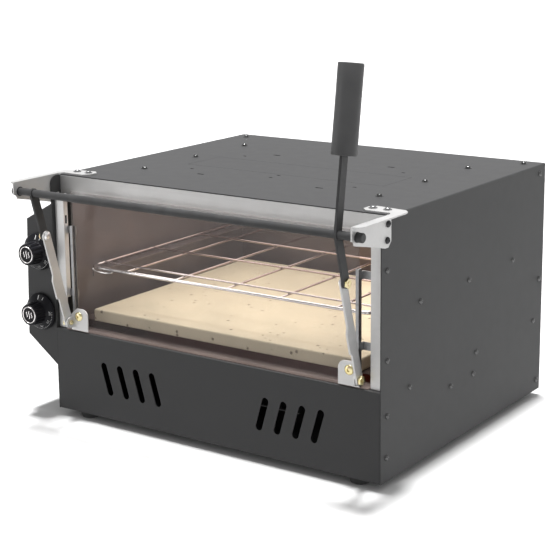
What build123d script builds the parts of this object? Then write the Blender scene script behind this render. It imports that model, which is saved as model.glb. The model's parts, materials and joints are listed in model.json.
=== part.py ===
from build123d import *
from math import atan2, cos, degrees, hypot, radians, sin
import os

os.makedirs("parts", exist_ok=True)

# Countertop pizza oven with a lever-lifted glass door. Millimetres, +Z up, the front faces -Y.
# All sizes below are in the casing's own frame: X from its centre line, Y back from its front
# edge, Z up from its underside. The planes further down move them to the model's frame, whose
# origin is the centre of the whole oven's footprint at the bottom of the feet.

# Casing
body_w = 620.0
body_d = 526.0
body_h = 390.0
sheet = 1.5
seam = 0.3
foot_h = 12.0
foot_r = 17.0
half_w = body_w / 2
inner_w = half_w - sheet - seam
panel_top = 138.0
top_setback = 24.0
ear_r = 14.0

# Front frame and chamber
jamb_in = 289.0
jamb_out = 307.0
jamb_y = 6.5
jamb_depth = 16.0
jamb_top = 362.0
band_bottom = 352.0
liner_w = 288.0
liner_floor = 100.0
liner_top = 356.0
liner_front = 27.0
liner_back = 490.0
stone_w = 510.0
stone_d = 420.0
stone_t = 20.0
stone_z = 150.0
stone_y = 32.0
rack_z = 235.0
rack_x = -5.0
rack_w = 540.0
rack_y = 50.0
rack_d = 413.0
rack_first = 35.0
rack_pitch = 101.0

# Controls
box_out = 374.0
box_top = 345.0
box_bottom = 72.0
box_y = 2.0
box_d = 170.0
knob_x = 341.0
knob_zs = {"upper": 262.0, "lower": 161.0}

# Door
glass_w = 540.0
glass_t = 4.0
glass_y = 3.5
glass_bottom = 142.0
glass_top = 368.0
plate_t = 2.0
plate_in = 239.0
screw_x = 258.0
screw_z = 164.0
ear_x = 272.2
ear_t = 2.4
bolt_y = -5.0
bolt_z = 153.0

# Lever: shaft centre, arm length and the planes that its bars lie in
shaft_y = -67.5
shaft_z = 376.0
shaft_r = 6.0
shaft_half = 321.0
arm_len = 74.5
arm_x = 279.4
arm_t = 4.0
arm_w = 15.0
link_x = 275.6
link_t = 3.0
link_w = 16.0
pin_r = 3.0
run = 0.05
handle_lean = 8.5
grip_start = 107.0
grip_len = 124.0
grip_r = 18.0
lever_travel = 105.0

# Shaft brackets
bracket_t = 2.0
bracket_x = half_w + 0.3
flange_out = 325.0
bracket_tip = -81.0
gland_out = 24.0

# Model frame: the footprint's centre lies off the casing's own centre line and front edge
centre_x = (box_out - flange_out) / 2
centre_y = (-bracket_tip - (body_d + gland_out)) / 2


def at_z(z):
    """Level plane at height z: its axes are X and Y."""
    return Plane((centre_x, centre_y, foot_h + z), x_dir=(1, 0, 0), z_dir=(0, 0, 1))


def at_y(y):
    """Upright plane at depth y, facing the front: its axes are X and Z."""
    return Plane((centre_x, centre_y + y, foot_h), x_dir=(1, 0, 0), z_dir=(0, -1, 0))


def at_x(x):
    """Upright plane at width x, facing right: its axes are Y and Z."""
    return Plane((centre_x + x, centre_y, foot_h), x_dir=(0, 1, 0), z_dir=(1, 0, 0))


def save(piece, name):
    """Label a finished piece and write its file."""
    piece.part.label = name
    export_step(piece.part, f"parts/{name}.step")


def slab(x0, x1, y0, y1, z0, z1, mode=Mode.ADD):
    """Rectangular block between two corners, added to the piece being built."""
    with BuildSketch(at_z(z0)) as profile:
        with Locations(((x0 + x1) / 2, (y0 + y1) / 2)):
            Rectangle(abs(x1 - x0), abs(y1 - y0))
    extrude(profile.sketch, amount=z1 - z0, mode=mode)


def bar_x(points, radius, x0, x1, mode=Mode.ADD):
    """Round bars along X at the given (y, z) points."""
    with BuildSketch(at_x(x0)) as profile:
        with Locations(*points):
            Circle(radius)
    extrude(profile.sketch, amount=x1 - x0, mode=mode)


def bar_y(points, radius, y0, y1, mode=Mode.ADD):
    """Round bars along Y at the given (x, z) points, from depth y0 back to y1."""
    with BuildSketch(at_y(y0)) as profile:
        with Locations(*points):
            Circle(radius)
    extrude(profile.sketch, amount=y0 - y1, mode=mode)


def bar_z(points, radius, z0, z1, mode=Mode.ADD):
    """Round bars along Z at the given (x, y) points."""
    with BuildSketch(at_z(z0)) as profile:
        with Locations(*points):
            Circle(radius)
    extrude(profile.sketch, amount=z1 - z0, mode=mode)


# ---------------------------------------------------------------- casing

bend_out = 2.5
bend_in = 0.8
cover_x = 190.0
cover_y0 = 206.0
cover_y1 = 292.0
top_screw_points = [(s * 225, y) for s in (-1, 1) for y in (135, 272, 414)]
top_screw_points += [(s * 283, 500) for s in (-1, 1)]
side_points = [(15.8, 312.8), (110.7, 247.4), (261.2, 247.1), (411.7, 248), (512.6, 195.5)]
side_points += [(505.4, 375.2), (494.5, 126.9), (289.5, 124.8), (280.2, 91.6), (207.1, 91.6)]
side_points += [(81.4, 125), (17.5, 181.2), (17.8, 99.4), (16.5, 36.6), (512.5, 18.5)]

with BuildPart() as outer_wrap:
    with BuildSketch(at_y(0)):
        with Locations((0, body_h / 2)):
            Rectangle(body_w, body_h)
        with Locations((0, (body_h - sheet) / 2)):
            Rectangle(body_w - 2 * sheet, body_h - sheet, mode=Mode.SUBTRACT)
    extrude(amount=-body_d)
    fillet(outer_wrap.edges().filter_by(Axis.Y).group_by(Axis.Z)[-2], bend_in)
    fillet(outer_wrap.edges().filter_by(Axis.Y).group_by(Axis.Z)[-1], bend_out)
    slab(-half_w + sheet, half_w - sheet, 0, top_setback, body_h - 4, body_h + 1, Mode.SUBTRACT)
    for s in (-1, 1):
        with BuildSketch(at_x(s * (half_w + 1))):
            with Locations((ear_r / 2, body_h - ear_r / 2)):
                Rectangle(ear_r, ear_r)
            with Locations((ear_r, body_h - ear_r)):
                Circle(ear_r, mode=Mode.SUBTRACT)
        extrude(amount=-s * (sheet + 2), mode=Mode.SUBTRACT)
    slab(-cover_x, cover_x, cover_y0, cover_y1, body_h - 4, body_h + 1, Mode.SUBTRACT)
    with BuildSketch(at_z(body_h - 4)):
        with Locations(*[(s * 114, y) for s in (-1, 1) for y in (142, 357)]):
            SlotOverall(14, 4.4)
        with Locations(*[(s * 157, y) for s in (-1, 1) for y in (175, 322)], (0, 176), (0, 198)):
            SlotOverall(7, 3.6)
    extrude(amount=6, mode=Mode.SUBTRACT)
save(outer_wrap, "outer_wrap")

with BuildPart() as top_cover_plate:
    slab(-cover_x + 0.5, cover_x - 0.5, cover_y0 + 0.5, cover_y1 - 0.5, body_h - sheet, body_h)
    for s in (-1, 1):
        slab(s * 40, s * (cover_x + 12), cover_y0 - 12, cover_y1 + 12, body_h - 2 * sheet, body_h - sheet)
save(top_cover_plate, "top_cover_plate")

with BuildPart() as top_screws:
    bar_z(top_screw_points, 6.0, body_h, body_h + 0.9)
    bar_z(top_screw_points, 4.2, body_h + 0.9, body_h + 4)
    chamfer(top_screws.edges().filter_by(GeomType.CIRCLE).group_by(Axis.Z)[-1], 0.9)
save(top_screws, "top_screws")

rivet_r = 4.5
rivet_h = 2.8
for s, name in ((-1, "left"), (1, "right")):
    points = [p for p in side_points if s > 0 or p[0] > box_d + 10 or p[1] < 60]
    with BuildPart() as side_rivets:
        bar_x(points, rivet_r, s * half_w, s * (half_w + rivet_h))
        chamfer(side_rivets.edges().filter_by(GeomType.CIRCLE).group_by(Axis.X)[-1 if s > 0 else 0], 1.4)
    save(side_rivets, f"side_rivets_{name}")

vent_rows = [(x, z) for x in (-200, -100, 0, 100, 200) for z in (62, 84, 106)]
gland_x = -230.0
gland_z = 46.0
with BuildPart() as back_panel:
    with BuildSketch(at_y(body_d - sheet)):
        with Locations((0, (body_h - sheet - seam) / 2)):
            Rectangle(2 * inner_w, body_h - sheet - seam)
        with Locations(*vent_rows):
            SlotOverall(64, 6, mode=Mode.SUBTRACT)
        with Locations((gland_x, gland_z)):
            Circle(8.0, mode=Mode.SUBTRACT)
    extrude(amount=-sheet)
save(back_panel, "back_panel")

back_screw_places = [(292, 20), (292, 195), (292, 368), (100, 368), (100, 20)]
back_screw_points = [(s * x, z) for s in (-1, 1) for x, z in back_screw_places]
with BuildPart() as back_screws:
    bar_y(back_screw_points, 3.6, body_d + 2.2, body_d)
    chamfer(back_screws.edges().filter_by(GeomType.CIRCLE).group_by(Axis.Y)[-1], 0.8)
save(back_screws, "back_screws")

with BuildPart() as base_panel:
    with BuildSketch(at_z(0)):
        with Locations((0, body_d / 2)):
            Rectangle(2 * inner_w, body_d - 2 * (sheet + seam))
        with Locations((0, body_d / 2)):
            with GridLocations(150, 150, 3, 2):
                SlotOverall(90, 7, mode=Mode.SUBTRACT)
    extrude(amount=sheet)
save(base_panel, "base_panel")

slot_pitch = 33.0
slot_z = 67.5
slot_lean = 11.0
with BuildPart() as front_lower_panel:
    slab(-inner_w, inner_w, 0, sheet, sheet + seam, panel_top)
    slab(-inner_w, inner_w, 0, top_setback, panel_top - sheet, panel_top)
    fillet(front_lower_panel.edges().filter_by(Axis.X).group_by(Axis.Z)[-1].sort_by(Axis.Y)[0], sheet)
    with BuildSketch(at_y(-1)):
        for s in (-1, 1):
            with Locations(*[(s * (103.5 + i * slot_pitch), slot_z) for i in range(4)]):
                SlotOverall(55, 11.8, rotation=degrees(atan2(38, s * slot_lean)))
    extrude(amount=-4, mode=Mode.SUBTRACT)
save(front_lower_panel, "front_lower_panel")

foot_points = [(s * 262, y) for s in (-1, 1) for y in (24, body_d - 26)]
with BuildPart() as feet:
    bar_z(foot_points, foot_r, -foot_h, -seam)
    chamfer(feet.edges().filter_by(GeomType.CIRCLE).group_by(Axis.Z)[0], 2.5)
    bar_z(foot_points, 3.5, -foot_h, -foot_h + 4, Mode.SUBTRACT)
save(feet, "feet")

with BuildPart() as cable_gland:
    bar_y([(gland_x, gland_z)], 7.9, body_d + 4, body_d - 6)
    bar_y([(gland_x, gland_z)], 11.5, body_d + 5, body_d)
    with BuildSketch(at_y(body_d + 16)):
        with Locations((gland_x, gland_z)):
            RegularPolygon(11.5, 6)
    extrude(amount=11)
    bar_y([(gland_x, gland_z)], 8.0, body_d + gland_out, body_d + 16)
    fillet(cable_gland.edges().filter_by(GeomType.CIRCLE).group_by(Axis.Y)[-1], 2)
    bar_y([(gland_x, gland_z)], 4.5, body_d + gland_out + 1, body_d - 8, Mode.SUBTRACT)
save(cable_gland, "cable_gland")

# ---------------------------------------------------------------- front frame

with BuildPart() as top_band:
    slab(-inner_w, inner_w, top_setback - sheet, top_setback, band_bottom, body_h - sheet - seam)
    slab(-inner_w, inner_w, top_setback, top_setback + 14, body_h - 2 * sheet - seam, body_h - sheet - seam)
    slab(-inner_w, inner_w, top_setback - sheet, top_setback + 2, band_bottom, band_bottom + sheet)
save(top_band, "top_band")

for s, name in ((-1, "left"), (1, "right")):
    with BuildPart() as jamb:
        slab(s * jamb_in, s * jamb_out, jamb_y, jamb_y + sheet, panel_top + 1, jamb_top)
        slab(s * jamb_in, s * (jamb_in + sheet), jamb_y, jamb_depth, panel_top + 52, jamb_top)
        slab(s * (jamb_out - sheet), s * jamb_out, jamb_y, jamb_depth, panel_top + 1, jamb_top)
        slab(s * (jamb_in - 1), s * (jamb_in + 2), jamb_y + 3, jamb_depth - 2, 312, 326, Mode.SUBTRACT)
    save(jamb, f"jamb_{name}")

rail_t = 1.4
rail_top = 312.0
rail_x = glass_w / 2 + 0.6
with BuildPart() as sill:
    slab(-jamb_in + 1, jamb_in - 1, 2.2, stone_y - 4, panel_top + 0.3, panel_top + 1.8)
    slab(-jamb_in + 1, jamb_in - 1, stone_y - 5.5, stone_y - 4, liner_floor, panel_top + 1.8)
save(sill, "sill")

for s, name in ((-1, "left"), (1, "right")):
    with BuildPart() as rail:
        slab(s * rail_x, s * (rail_x + rail_t), 1.4, 9.6, panel_top + 2.2, rail_top)
        slab(s * (rail_x - 3.6), s * rail_x, 1.4, 2.8, panel_top + 2.2, rail_top)
        slab(s * (rail_x - 3.6), s * rail_x, 8.2, 9.6, panel_top + 2.2, rail_top)
        for z in (panel_top + 54, rail_top - 16):
            slab(s * rail_x, s * (rail_x + rail_t), 9.6, jamb_depth, z, z + 12)
            slab(s * (rail_x + rail_t), s * (jamb_in - 0.01), jamb_depth - rail_t, jamb_depth, z, z + 12)
    save(rail, f"glass_rail_{name}")

# ---------------------------------------------------------------- chamber

with BuildPart() as chamber_liner:
    slab(-liner_w - 1, liner_w + 1, liner_front, liner_back, liner_floor - 1, liner_top + 1)
    slab(-liner_w, liner_w, liner_front - 1, liner_back + 1, liner_floor, liner_top, Mode.SUBTRACT)
save(chamber_liner, "chamber_liner")

with BuildPart() as chamber_back:
    slab(-liner_w - 1, liner_w + 1, liner_back + 0.2, liner_back + 1.2, liner_floor - 1, liner_top + 1)
save(chamber_back, "chamber_back")

with BuildPart() as insulation:
    for s in (-1, 1):
        slab(s * (liner_w + 1.6), s * (inner_w - 0.6), liner_front, liner_back, liner_floor, liner_top)
    slab(-liner_w, liner_w, top_setback + 16, liner_back, liner_top + 1.6, body_h - 4)
    slab(-liner_w, liner_w, liner_back + 2, body_d - 4, liner_floor, liner_top)
save(insulation, "insulation")

with BuildPart() as stone:
    slab(-stone_w / 2, stone_w / 2, stone_y, stone_y + stone_d, stone_z, stone_z + stone_t)
    chamfer(stone.edges(), 1.5)
save(stone, "stone")

with BuildPart() as stone_supports:
    for s in (-1, 1):
        slab(s * liner_w, s * (stone_w / 2 - 22), stone_y + 6, stone_y + stone_d, stone_z - 2, stone_z)
        slab(s * liner_w, s * (liner_w - 2), stone_y + 6, stone_y + stone_d, stone_z - 14, stone_z)
save(stone_supports, "stone_supports")

rack_r = 3.0
wire_r = 1.8
rack_edge = rack_w / 2
rack_corner = 22.0
with BuildPart() as wire_rack:
    with BuildLine(at_z(rack_z)) as rack_path:
        FilletPolyline(
            (rack_x + rack_edge, rack_y), (rack_x + rack_edge, rack_y + rack_d),
            (rack_x - rack_edge, rack_y + rack_d), (rack_x - rack_edge, rack_y),
            radius=rack_corner, close=True,
        )
    with BuildSketch(Plane(rack_path.line @ 0, x_dir=(0, 0, 1), z_dir=rack_path.line % 0)):
        Circle(rack_r)
    sweep()
    for i in range(3):
        y = rack_y + rack_first + (rack_d - rack_first) * i / 3
        bar_x([(y, rack_z + 1.0)], wire_r, rack_x - rack_edge, rack_x + rack_edge)
    for i in range(-2, 3):
        bar_y([(rack_x + i * rack_pitch, rack_z - 2.4)], wire_r, rack_y, rack_y + rack_d)
save(wire_rack, "wire_rack")

with BuildPart() as rack_supports:
    for s in (-1, 1):
        slab(s * liner_w, s * (rack_edge - 14), rack_y + 20, rack_y + rack_d, rack_z - 6.2, rack_z - 4.4)
        slab(s * liner_w, s * (liner_w - 1.8), rack_y + 20, rack_y + rack_d, rack_z - 22, rack_z - 4.4)
save(rack_supports, "rack_supports")

element_x = liner_w - 18
for level, z in (("upper", liner_top - 22), ("lower", stone_z - 26)):
    ys = (130, 210, 310, 390)
    with BuildPart() as element:
        bar_x([(y, z) for y in ys], 4.5, -element_x, element_x)
    save(element, f"heating_element_{level}")
    with BuildPart() as terminals:
        for s in (-1, 1):
            bar_x([(y, z) for y in ys], 9.0, s * (element_x + 0.3), s * (liner_w - 0.3))
    save(terminals, f"ceramic_ends_{level}")

with BuildPart() as thermostat_bulbs:
    bar_y([(-liner_w + 8, liner_top - 44), (-liner_w + 8, stone_z - 40)], 3.0, 200, 320)
    for z in (liner_top - 44, stone_z - 40):
        for y in (215, 300):
            slab(-liner_w, -liner_w + 8, y, y + 6, z - 2, z + 2)
save(thermostat_bulbs, "thermostat_bulbs")

# ---------------------------------------------------------------- controls

box_outline = [(-half_w - seam, box_top), (-367, 314), (-box_out, 118), (-half_w - seam, box_bottom)]
box_inner = [(-half_w - sheet, box_top - 3), (-365.4, 313), (-box_out + 1.6, 118.8)]
box_inner += [(-half_w - sheet, box_bottom + 3)]

with BuildPart() as control_box:
    with BuildSketch(at_y(box_y + sheet + seam)):
        Polygon(*box_outline, align=None)
    extrude(amount=-box_d)
    with BuildSketch(at_y(box_y + sheet + seam - 1)):
        Polygon(*box_inner, align=None)
    extrude(amount=-(box_d - sheet + 1), mode=Mode.SUBTRACT)
save(control_box, "control_box")

knob_points = [(-knob_x, z) for z in knob_zs.values()]
with BuildPart() as control_front:
    with BuildSketch(at_y(box_y)):
        Polygon(*box_outline, align=None)
        with Locations(*knob_points):
            Circle(4.2, mode=Mode.SUBTRACT)
    extrude(amount=-sheet)
save(control_front, "control_front")

skirt_r = 31.0
grip_face = -30.0
flute_x = 20.5
for name, z in knob_zs.items():
    with BuildPart() as thermostat:
        slab(-knob_x - 20, -knob_x + 20, box_y + 8, box_y + 40, z - 20, z + 20)
        bar_y([(-knob_x, z)], 14.0, box_y + 4, box_y + 8)
        bar_y([(-knob_x, z)], 3.0, box_y - 14, box_y + 4)
        bar_y([(-knob_x, z)], 6.0, box_y + sheet + seam, box_y + 4)
    save(thermostat, f"thermostat_{name}")
    with BuildPart() as knob:
        with BuildSketch(at_x(-knob_x)):
            with BuildLine():
                Polyline(
                    (grip_face + 1.5, z), (grip_face + 1.5, z + 14.5), (grip_face, z + 15),
                    (grip_face, z + 17), (grip_face + 1, z + 18), (-9, z + 19), (-5.5, z + 28.5),
                    (-3.5, z + skirt_r), (box_y - 2, z + skirt_r), (box_y - 2, z + 18), (-5, z + 16),
                    (-5, z), (grip_face + 1.5, z),
                )
            make_face()
        revolve(axis=Axis((centre_x - knob_x, centre_y, foot_h + z), (0, 1, 0)))
        turns = [radians(a) for a in range(15, 375, 30)]
        flutes = [(-knob_x + flute_x * cos(a), z + flute_x * sin(a)) for a in turns]
        bar_y(flutes, 3.2, grip_face + 4, -9.2, Mode.SUBTRACT)
        bar_y([(-knob_x, z)], 7.0, -6, box_y - 2)
        bar_y([(-knob_x, z)], 3.0 + run, -12.5, box_y, Mode.SUBTRACT)
    save(knob, f"knob_{name}")
    with BuildPart() as cap:
        bar_y([(-knob_x, z)], 14.3, grip_face - 0.6, grip_face + 1.45)
        bar_y([(-knob_x, z)], 11.6, grip_face - 1, grip_face, Mode.SUBTRACT)
    save(cap, f"knob_cap_{name}")

with BuildPart() as terminal_block:
    slab(-box_out + 8, -box_out + 26, 90, 150, 126, 146)
    bar_z([(-box_out + 17, y) for y in (99, 111, 123, 135)], 3.5, 142, 147, Mode.SUBTRACT)
save(terminal_block, "terminal_block")

# ---------------------------------------------------------------- door

with BuildPart() as door_glass:
    slab(-glass_w / 2, glass_w / 2, glass_y, glass_y + glass_t, glass_bottom, glass_top)
    for s in (-1, 1):
        bar_y([(s * screw_x, screw_z)], 4.0, glass_y - 1, glass_y + glass_t + 1, Mode.SUBTRACT)
    chamfer(door_glass.edges().filter_by(Axis.X), 0.6)
save(door_glass, "door_glass")

plate_y = glass_y - 2.5
plate_top = 177.0
with BuildPart() as glass_spacers:
    for s in (-1, 1):
        slab(s * 240, s * 265.5, plate_y + 0.02, glass_y, glass_bottom + 2, plate_top - 6)
        bar_y([(s * screw_x, screw_z)], 4.0, plate_y - 1, glass_y + 1, Mode.SUBTRACT)
save(glass_spacers, "glass_spacers")

for s, name in ((-1, "left"), (1, "right")):
    with BuildPart() as bracket:
        with BuildSketch(at_y(plate_y)):
            with BuildLine():
                Polyline(
                    (s * plate_in, plate_top - 12), (s * plate_in, glass_bottom - 1.5),
                    (s * (ear_x + ear_t), glass_bottom - 1.5), (s * (ear_x + ear_t), glass_bottom + 24),
                    (s * 262, plate_top),
                )
                Line((s * 262, plate_top), (s * (plate_in + 12), plate_top))
                RadiusArc((s * (plate_in + 12), plate_top), (s * plate_in, plate_top - 12), -s * 12)
            make_face()
            with Locations((s * screw_x, screw_z)):
                Circle(3.2, mode=Mode.SUBTRACT)
        extrude(amount=plate_t)
        with BuildSketch(at_x(s * ear_x)):
            with BuildLine():
                Polyline((plate_y, bolt_z + 9), (plate_y, bolt_z - 9), (bolt_y, bolt_z - 9))
                RadiusArc((bolt_y, bolt_z - 9), (bolt_y, bolt_z + 9), 9)
                Line((bolt_y, bolt_z + 9), (plate_y, bolt_z + 9))
            make_face()
            with Locations((bolt_y, bolt_z)):
                Circle(pin_r, mode=Mode.SUBTRACT)
        extrude(amount=s * ear_t)
    save(bracket, f"glass_bracket_{name}")

with BuildPart() as glass_screws:
    for s in (-1, 1):
        point = [(s * screw_x, screw_z)]
        bar_y(point, 7.6, plate_y - plate_t - 3, plate_y - plate_t)
        bar_y(point, 3.0, plate_y - plate_t, glass_y + glass_t + 6)
        bar_y(point, 7.5, glass_y + glass_t + 0.1, glass_y + glass_t + 1.3)
        with BuildSketch(at_y(glass_y + glass_t + 1.3)):
            with Locations(*point):
                RegularPolygon(5.6, 6)
        extrude(amount=-3.6)
    fillet(glass_screws.edges().filter_by(GeomType.CIRCLE).group_by(Axis.Y)[0], 2.2)
save(glass_screws, "glass_screws")

with BuildPart() as pivot_bolts:
    for s in (-1, 1):
        point = [(bolt_y, bolt_z)]
        bar_x(point, pin_r, s * (ear_x - 0.1), s * 283.4)
        bar_x(point, 3.8, s * 269.4, s * (ear_x - 0.1))
        bar_x(point, 5.0, s * (ear_x + ear_t), s * (link_x - 0.1))
        with BuildSketch(at_x(s * (link_x + link_t + 0.3))):
            with Locations(*point):
                RegularPolygon(7.4, 6)
        extrude(amount=s * 4)
save(pivot_bolts, "pivot_bolts")

# ---------------------------------------------------------------- lever

rest_angle = degrees(atan2(bolt_y - shaft_y, shaft_z - bolt_z))
link_len = hypot(bolt_y - shaft_y, shaft_z - bolt_z) - arm_len
pin_y = shaft_y + arm_len * sin(radians(rest_angle))
pin_z = shaft_z - arm_len * cos(radians(rest_angle))
end_angle = radians(rest_angle + lever_travel)
end_y = shaft_y + arm_len * sin(end_angle)
end_z = shaft_z - arm_len * cos(end_angle)
lift = end_z - (link_len ** 2 - (end_y - bolt_y) ** 2) ** 0.5 - bolt_z
end_lean = degrees(atan2(end_y - bolt_y, (link_len ** 2 - (end_y - bolt_y) ** 2) ** 0.5))
print(f"pin at {pin_y:.3f}, {pin_z:.3f}; link length {link_len:.3f}")
print(f"glass lift {lift:.4f}; link turn {rest_angle + end_lean:.4f}")


def strap(y0, z0, y1, z1, width):
    """Outline of a flat bar with round ends between two points, drawn on an at_x plane."""
    run_len = hypot(y1 - y0, z1 - z0)
    with Locations(((y0 + y1) / 2, (z0 + z1) / 2)):
        SlotCenterToCenter(run_len, width, rotation=degrees(atan2(z1 - z0, y1 - y0)))


for s, name in ((-1, "left"), (1, "right")):
    with BuildPart() as arm:
        with BuildSketch(at_x(s * arm_x)):
            strap(shaft_y, shaft_z, pin_y, pin_z, arm_w)
            if s > 0:
                lean = radians(handle_lean)
                top = grip_start + 40
                strap(shaft_y, shaft_z, shaft_y + top * sin(lean), shaft_z + top * cos(lean), arm_w)
            with Locations((shaft_y, shaft_z)):
                Circle(shaft_r, mode=Mode.SUBTRACT)
            with Locations((pin_y, pin_z)):
                Circle(pin_r, mode=Mode.SUBTRACT)
        extrude(amount=s * arm_t)
    save(arm, "handle_arm" if s > 0 else "left_arm")

with BuildPart() as shaft:
    bar_x([(shaft_y, shaft_z)], shaft_r, -shaft_half, shaft_half)
    chamfer(shaft.edges().filter_by(GeomType.CIRCLE), 1.5)
save(shaft, "shaft")

grip_mid_x = arm_x + arm_t / 2
lean = radians(handle_lean)
grip_low = (shaft_y + grip_start * sin(lean), shaft_z + grip_start * cos(lean))
grip_plane = Plane(
    (centre_x + grip_mid_x, centre_y + grip_low[0], foot_h + grip_low[1]),
    x_dir=(1, 0, 0), z_dir=(0, sin(lean), cos(lean)),
)
with BuildPart() as grip:
    with BuildSketch(grip_plane):
        Circle(grip_r)
    extrude(amount=grip_len)
    fillet(grip.edges(), 1.5)
    with BuildSketch(grip_plane.offset(-1)):
        Rectangle(arm_t + 0.02, arm_w + 0.02)
    extrude(amount=43 + arm_w / 2, mode=Mode.SUBTRACT)
save(grip, "grip")

with BuildPart() as arm_pins:
    for s in (-1, 1):
        point = [(pin_y, pin_z)]
        bar_x(point, pin_r, s * (arm_x - 0.2), s * (arm_x + arm_t))
        with BuildSketch(at_x(s * (arm_x + arm_t))):
            with Locations(*point):
                RegularPolygon(7.4, 6)
        extrude(amount=s * 4.2)
save(arm_pins, "arm_pins")

for s, name in ((-1, "left"), (1, "right")):
    y0, z0, y1, z1 = bolt_y, bolt_z, pin_y, pin_z
    turn = atan2(y1 - y0, z1 - z0)
    along = (sin(turn), cos(turn))
    out = (-cos(turn), sin(turn))
    wide = [(0.30, 5.0), (0.31, link_w / 2 + 4), (0.52, link_w / 2 + 4), (0.62, 5.0)]
    outline = [
        (y0 + along[0] * link_len * f + out[0] * w, z0 + along[1] * link_len * f + out[1] * w)
        for f, w in wide
    ]
    with BuildPart() as link:
        with BuildSketch(at_x(s * link_x)):
            strap(y0, z0, y1, z1, link_w)
            Polygon(*outline, align=None)
            with Locations((y0, z0)):
                Circle(pin_r + run, mode=Mode.SUBTRACT)
            with Locations((y1, z1)):
                Circle(pin_r, mode=Mode.SUBTRACT)
        extrude(amount=s * link_t)
    save(link, f"link_{name}")

with BuildPart() as link_pin_heads:
    for s in (-1, 1):
        point = [(pin_y, pin_z)]
        bar_x(point, pin_r, s * link_x, s * (link_x + link_t + 0.1))
        bar_x(point, 6.8, s * 272.5, s * link_x)
    rims = link_pin_heads.edges().filter_by(GeomType.CIRCLE).filter_by(lambda e: e.radius > 5)
    for group in (0, -1):
        fillet(rims.group_by(Axis.X)[group], 1.4)
save(link_pin_heads, "link_pin_heads")

# ---------------------------------------------------------------- shaft brackets

bush_r = 7.4
cap_r = 6.9
for s, name in ((-1, "left"), (1, "right")):
    with BuildPart() as bracket:
        with BuildSketch(at_x(s * bracket_x)):
            with BuildLine():
                Polyline(
                    (bracket_tip + 7, 365), (-30, 355), (5, 346.5), (14, 346), (22, 354),
                    (22, body_h + bracket_t), (bracket_tip, body_h + bracket_t), (bracket_tip, 372),
                )
                RadiusArc((bracket_tip, 372), (bracket_tip + 7, 365), 7)
            make_face()
            with Locations((shaft_y, shaft_z)):
                Circle(bush_r, mode=Mode.SUBTRACT)
        extrude(amount=s * bracket_t)
        with BuildSketch(at_z(body_h)):
            Polygon(
                (s * bracket_x, bracket_tip), (s * (flange_out - 4), bracket_tip + 4),
                (s * flange_out, bracket_tip + 12), (s * flange_out, 40), (s * (flange_out - 2), 49),
                (s * (flange_out - 9), 56),
                (s * 266, 62), (s * 257, 53), (s * 257, 38), (s * 266, 29), (s * (half_w - 4), 29),
                (s * bracket_x, 22), align=None,
            )
            with Locations((s * 268, 46), (s * 292, 46)):
                Circle(2.6, mode=Mode.SUBTRACT)
        extrude(amount=bracket_t)
    save(bracket, f"shaft_bracket_{name}")

with BuildPart() as bracket_screws:
    for s in (-1, 1):
        side = s * (bracket_x + bracket_t)
        bar_x([(13, 380), (11, 357)], 5.2, side, side + s * 3.4)
        tabs = [(s * 268, 46), (s * 292, 46)]
        bar_z(tabs, 6.5, body_h + bracket_t, body_h + bracket_t + 0.8)
        bar_z(tabs, 4.2, body_h + bracket_t + 0.8, body_h + bracket_t + 3.4)
save(bracket_screws, "bracket_screws")

with BuildPart() as shaft_bushes:
    for s in (-1, 1):
        bar_x([(shaft_y, shaft_z)], bush_r, s * (bracket_x - 0.8), s * (bracket_x + bracket_t + 0.8))
        bar_x([(shaft_y, shaft_z)], shaft_r + run, s * (bracket_x - 2), s * (bracket_x + 5), Mode.SUBTRACT)
save(shaft_bushes, "shaft_bushes")

with BuildPart() as shaft_caps:
    for s in (-1, 1):
        inner = bracket_x + bracket_t + 1.2
        bar_x([(shaft_y, shaft_z)], cap_r, s * inner, s * (shaft_half + 1.6))
        bar_x([(shaft_y, shaft_z)], shaft_r, s * (inner - 1), s * shaft_half, Mode.SUBTRACT)
    for group in (0, -1):
        fillet(shaft_caps.edges().filter_by(GeomType.CIRCLE).group_by(Axis.X)[group], 1.5)
save(shaft_caps, "shaft_caps")
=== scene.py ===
"""Countertop pizza oven with a lever-lifted glass door.

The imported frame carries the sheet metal, the lever linkage, the door and the controls. This add-on
adds the fine pieces that ride on it, such as turned knobs, fasteners, the stone and the heater
spirals, gives every piece its finish, and sets up a plain studio.
"""

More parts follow.
